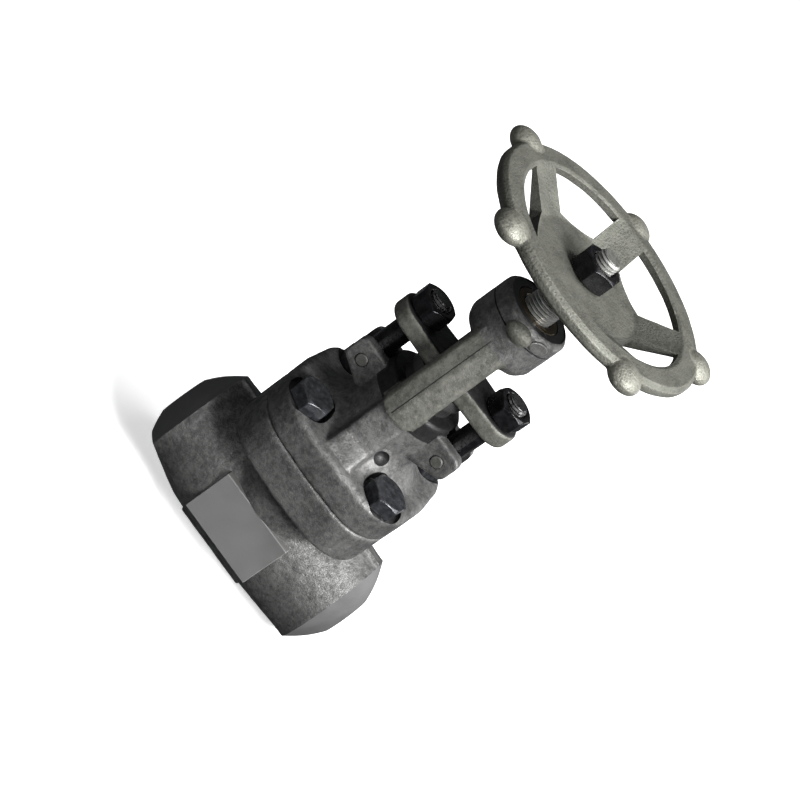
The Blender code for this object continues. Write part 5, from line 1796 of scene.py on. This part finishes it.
    def casting(self, bench: Bench) -> bpy.types.Object:
        """Cast the dished wheel with its lobes, before any cut.

        Args:
            bench: The modelling steps.

        Returns:
            The casting, its lobes painted lighter: a painted highlight where they face the lamps.
        """
        top, low = self.plate_top, self.plate_top - self.plate_thickness
        inner, outer = self.rim - 0.5 * self.rim_width, self.rim + 0.5 * self.rim_width
        middle = top + self.dish
        high, under = middle + 0.5 * self.rim_thickness, middle - 0.5 * self.rim_thickness
        edge, flare = self.rim_edge, self.boss_flare
        profile = [(1.0 * MM, top), (self.plate - 2.0 * MM, top), (inner - 1.0 * MM, high - edge),
                   (inner + edge, high), (outer - edge, high), (outer, high - edge),
                   (outer, under + edge), (outer - edge, under), (outer - self.rim_heel, under),
                   (inner + 0.5 * MM, high - self.rim_lip), (self.plate, low),
                   (self.boss + flare, low), (self.boss, low - flare),
                   (self.boss, self.wheel_bottom), (1.0 * MM, self.wheel_bottom)]
        sector = tau / self.lobes
        centres = [Matrix.Rotation(number * sector, 3, "Z")
                   @ Vector((0.0, self.lobe_centre, middle)) for number in range(self.lobes)]
        parts = [bench.turned("dish", profile, steps=160)]
        for number in range(self.lobes):
            place = (Matrix.Rotation(number * sector, 4, "Z")
                     @ Matrix.Translation((0.0, self.lobe_centre, middle)))
            parts.append(bench.ball("lobe", (self.lobe, self.lobe, 0.5 * self.lobe_height), place))
        wheel = bench.paint(bench.forge(parts, self.cell, 5, self.waviness), CAST)
        # Faces near a lobe get the lighter copy: painted highlight.
        wheel.data.materials.append(bench.wardrobe.material(LIT_LOBES))
        for face in wheel.data.polygons:
            if min((face.center - centre).length for centre in centres) < self.lobe:
                face.material_index = 1
        return wheel

    def make_wheel(self, bench: Bench) -> None:
        """Cast the handwheel, then cut its windows and its square hole.

        Args:
            bench: The modelling steps.
        """
        wheel, sector = self.casting(bench), tau / self.lobes
        windows = bench.gather([self.window(bench, (number + 0.5) * sector + 0.5 * pi)
                                for number in range(self.lobes)])
        bench.combine(wheel, bench.paint(windows, WINDOW), "DIFFERENCE")
        half = 0.5 * self.square + GAP
        hole = bench.block("square_hole", (-half, -half, self.wheel_bottom - PAST),
                           (half, half, self.plate_top + PAST), self.square_rounding)
        bench.combine(wheel, bench.paint(hole, BORED), "DIFFERENCE")
        bench.move(wheel, Matrix.Rotation(self.turn, 4, "Z"))
        bench.settle(wheel, "wheel_casting", "stem_assembly", ["handwheel"])

    def build(self, bench: Bench) -> None:
        """Make the stem, the wheel and the wheel nut.

        Args:
            bench: The modelling steps.
        """
        self.make_stem(bench)
        self.make_wheel(bench)
        kind = Fastener(self.nut_flats, self.nut_height, self.stub + GAP)
        nut = kind.finish(bench, kind.build(bench, "wheel_nut", True), BLACK)
        bench.move(nut, Matrix.Translation((0.0, 0.0, self.plate_top + GAP)))
        bench.settle(nut, "wheel_hex_nut", "stem_assembly", ["handwheel_nut"])


@dataclass
class HubTrim:
    """The yoke bushing in the hub and the pin that locks it."""

    bottom: float = 124.0 * MM
    top: float = 147.5 * MM
    outer: float = 10.7 * MM
    inner: float = 7.3 * MM
    chamfer: float = 0.6 * MM
    edge: float = 0.3 * MM
    pin: float = 2.75 * MM
    pin_height: float = 143.9 * MM
    pin_turn: float = radians(-50.0)
    pin_reach: float = 17.4 * MM
    pin_spread: float = 1.6
    pin_rounding: float = 0.5 * MM

    def build(self, bench: Bench) -> None:
        """Turn the bushing with chamfered mouths, and the pin.

        Args:
            bench: The modelling steps.
        """
        mouth, skirt = self.inner + self.chamfer, self.outer - self.edge
        bushing = bench.turned("bushing", [
            (mouth, self.top), (skirt, self.top), (self.outer, self.top - self.edge),
            (self.outer, self.bottom + self.edge), (skirt, self.bottom), (mouth, self.bottom),
            (self.inner, self.bottom + self.chamfer), (self.inner, self.top - self.chamfer)],
            steps=64, ring=True)
        bench.settle(bench.paint(bushing, BRONZE), "bushing_turned", "valve_body",
                     ["yoke_bushing"])
        pin = bench.rod("pin", self.pin, (self.outer + GAP, 0.0, 0.0),
                        (self.pin_reach, 0.0, 0.0), steps=40)
        bench.round_edges(pin, self.pin_rounding)
        bench.move(pin, Matrix.Diagonal((1.0, self.pin_spread, 1.0, 1.0)))
        bench.move(pin, Matrix.Translation((0.0, 0.0, self.pin_height))
                   @ Matrix.Rotation(self.pin_turn, 4, "Z"))
        bench.settle(bench.paint(pin, PIN_END), "lock_pin", "valve_body",
                     ["bushing_pin"])


@dataclass
class InnerTrim:
    """The pieces inside, whose solids are kept and given their finishes."""

    steel: tuple[str, ...] = ("seat_ring", "disc", "disc_retainer", "backseat_bush")
    rings: int = 5

    def build(self, bench: Bench, nodes: dict[str, bpy.types.Object]) -> None:
        """Dress each solid.

        Args:
            bench: The modelling steps.
            nodes: The frame's solids by name.
        """
        graphite = ["bonnet_gasket"]
        graphite += [f"packing_ring_{number + 1}" for number in range(self.rings)]
        # The gland follower is painted near black: painted shade in the gap under the gland plate.
        for finish, names in ((BRIGHT, self.steel), (SHADE_STEEL, ["gland_follower"]),
                              (GRAPHITE, graphite)):
            for name in names:
                bench.paint(nodes[name], finish)


@dataclass(frozen=True)
class Lamp:
    """A square soft light: where it hangs, its side in metres and its power in watts."""

    name: str
    place: Point3
    size: float
    power: float


@dataclass
class Studio:
    """The camera of the photograph, its lights and the pale floor."""

    focal: float = 2010.8
    distance: float = 0.81709
    azimuth: float = radians(-1.22)
    elevation: float = radians(27.37)
    roll: float = radians(54.49)
    shift_right: float = 54.94 * MM
    shift_up: float = 42.93 * MM
    frame_width: float = 800.0
    sensor: float = 36.0
    near: float = 10.0 * MM
    floor_size: float = 16.0
    floor_height: float = -0.2 * MM
    floor_colour: Colour = (0.86, 0.86, 0.86)
    floor_rough: float = 0.9
    floor_gloss: float = 0.1
    floor_glow: float = 0.55
    sky_colour: Colour = (0.92, 0.95, 1.0)
    sky_strength: float = 0.07
    aim: Point3 = (0.0, 0.0, 0.10)
    lamps: tuple[Lamp, ...] = (Lamp("key", (0.85, -0.62, 0.80), 0.45, 34.0),
                               Lamp("fill", (-0.15, -1.3, 0.45), 0.8, 5.0),
                               Lamp("top", (0.75, 0.2, 1.35), 1.2, 30.0),
                               Lamp("back", (1.05, 1.0, 0.12), 0.8, 4.0))

    def camera(self) -> None:
        """Put the camera where the photographer's was."""
        back = Vector((sin(self.azimuth) * cos(self.elevation),
                       -cos(self.azimuth) * cos(self.elevation), sin(self.elevation)))
        right = Vector((cos(self.azimuth), sin(self.azimuth), 0.0))
        up = back.cross(right)
        rolled_right = cos(self.roll) * right + sin(self.roll) * up
        rolled_up = cos(self.roll) * up - sin(self.roll) * right
        data = bpy.data.cameras.new("camera")
        data.sensor_width = self.sensor
        data.lens = self.sensor * self.focal / self.frame_width
        data.clip_start = self.near
        camera = bpy.data.objects.new("camera", data)
        bpy.context.scene.collection.objects.link(camera)
        place = Matrix((rolled_right, rolled_up, back)).transposed().to_4x4()
        place.translation = (Vector((0.0, 0.0, AXIS_HEIGHT)) + self.distance * back
                             + self.shift_right * rolled_right + self.shift_up * rolled_up)
        camera.matrix_world = place
        bpy.context.scene.camera = camera

    def hang(self, lamp: Lamp) -> None:
        """Hang one lamp so that it faces the valve.

        Args:
            lamp: The lamp.
        """
        data = bpy.data.lights.new(lamp.name, "AREA")
        data.shape = "SQUARE"
        data.size = lamp.size
        data.energy = lamp.power
        light = bpy.data.objects.new(lamp.name, data)
        bpy.context.scene.collection.objects.link(light)
        light.location = lamp.place
        way = Vector(self.aim) - Vector(lamp.place)
        light.rotation_mode = "QUATERNION"
        light.rotation_quaternion = way.to_track_quat("-Z", "Y")

    def floor(self) -> None:
        """Lay a wide pale floor."""
        bpy.ops.object.select_all(action="DESELECT")
        bpy.ops.mesh.primitive_plane_add(size=self.floor_size,
                                         location=(0.0, 0.0, self.floor_height))
        floor = bpy.context.object
        floor.name = "floor"
        material = bpy.data.materials.new("pale_floor")
        material.use_nodes = True
        inputs = material.node_tree.nodes["Principled BSDF"].inputs
        for name, value in (("Base Color", (*self.floor_colour, 1.0)),
                            ("Roughness", self.floor_rough),
                            ("Specular IOR Level", self.floor_gloss),
                            ("Emission Color", (1.0, 1.0, 1.0, 1.0)),
                            ("Emission Strength", self.floor_glow)):
            inputs[name].default_value = value
        floor.data.materials.append(material)
        floor.visible_diffuse = False
        floor.visible_glossy = False

    def build(self) -> None:
        """Set up camera, floor, sky and lamps."""
        self.camera()
        self.floor()
        world = bpy.data.worlds.new("studio")
        world.use_nodes = True
        sky = world.node_tree.nodes["Background"]
        sky.inputs["Color"].default_value = (*self.sky_colour, 1.0)
        sky.inputs["Strength"].default_value = self.sky_strength
        bpy.context.scene.world = world
        for lamp in self.lamps:
            self.hang(lamp)
        bpy.context.scene.view_settings.view_transform = "Standard"


def main() -> None:
    """Build every sub-assembly in order, then the studio."""
    logging.basicConfig(level=logging.INFO, format="%(name)s: %(message)s")
    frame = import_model()
    bench = Bench(Wardrobe())
    flange = Flange()
    BodyForging(flange).build(bench)
    BonnetForging(flange).build(bench)
    BonnetBolting(flange).build(bench)
    GlandSet().build(bench)
    StemAndWheel().build(bench)
    HubTrim().build(bench)
    InnerTrim().build(bench, frame["nodes"])
    Studio().build()


if __name__ == "__main__":
    main()
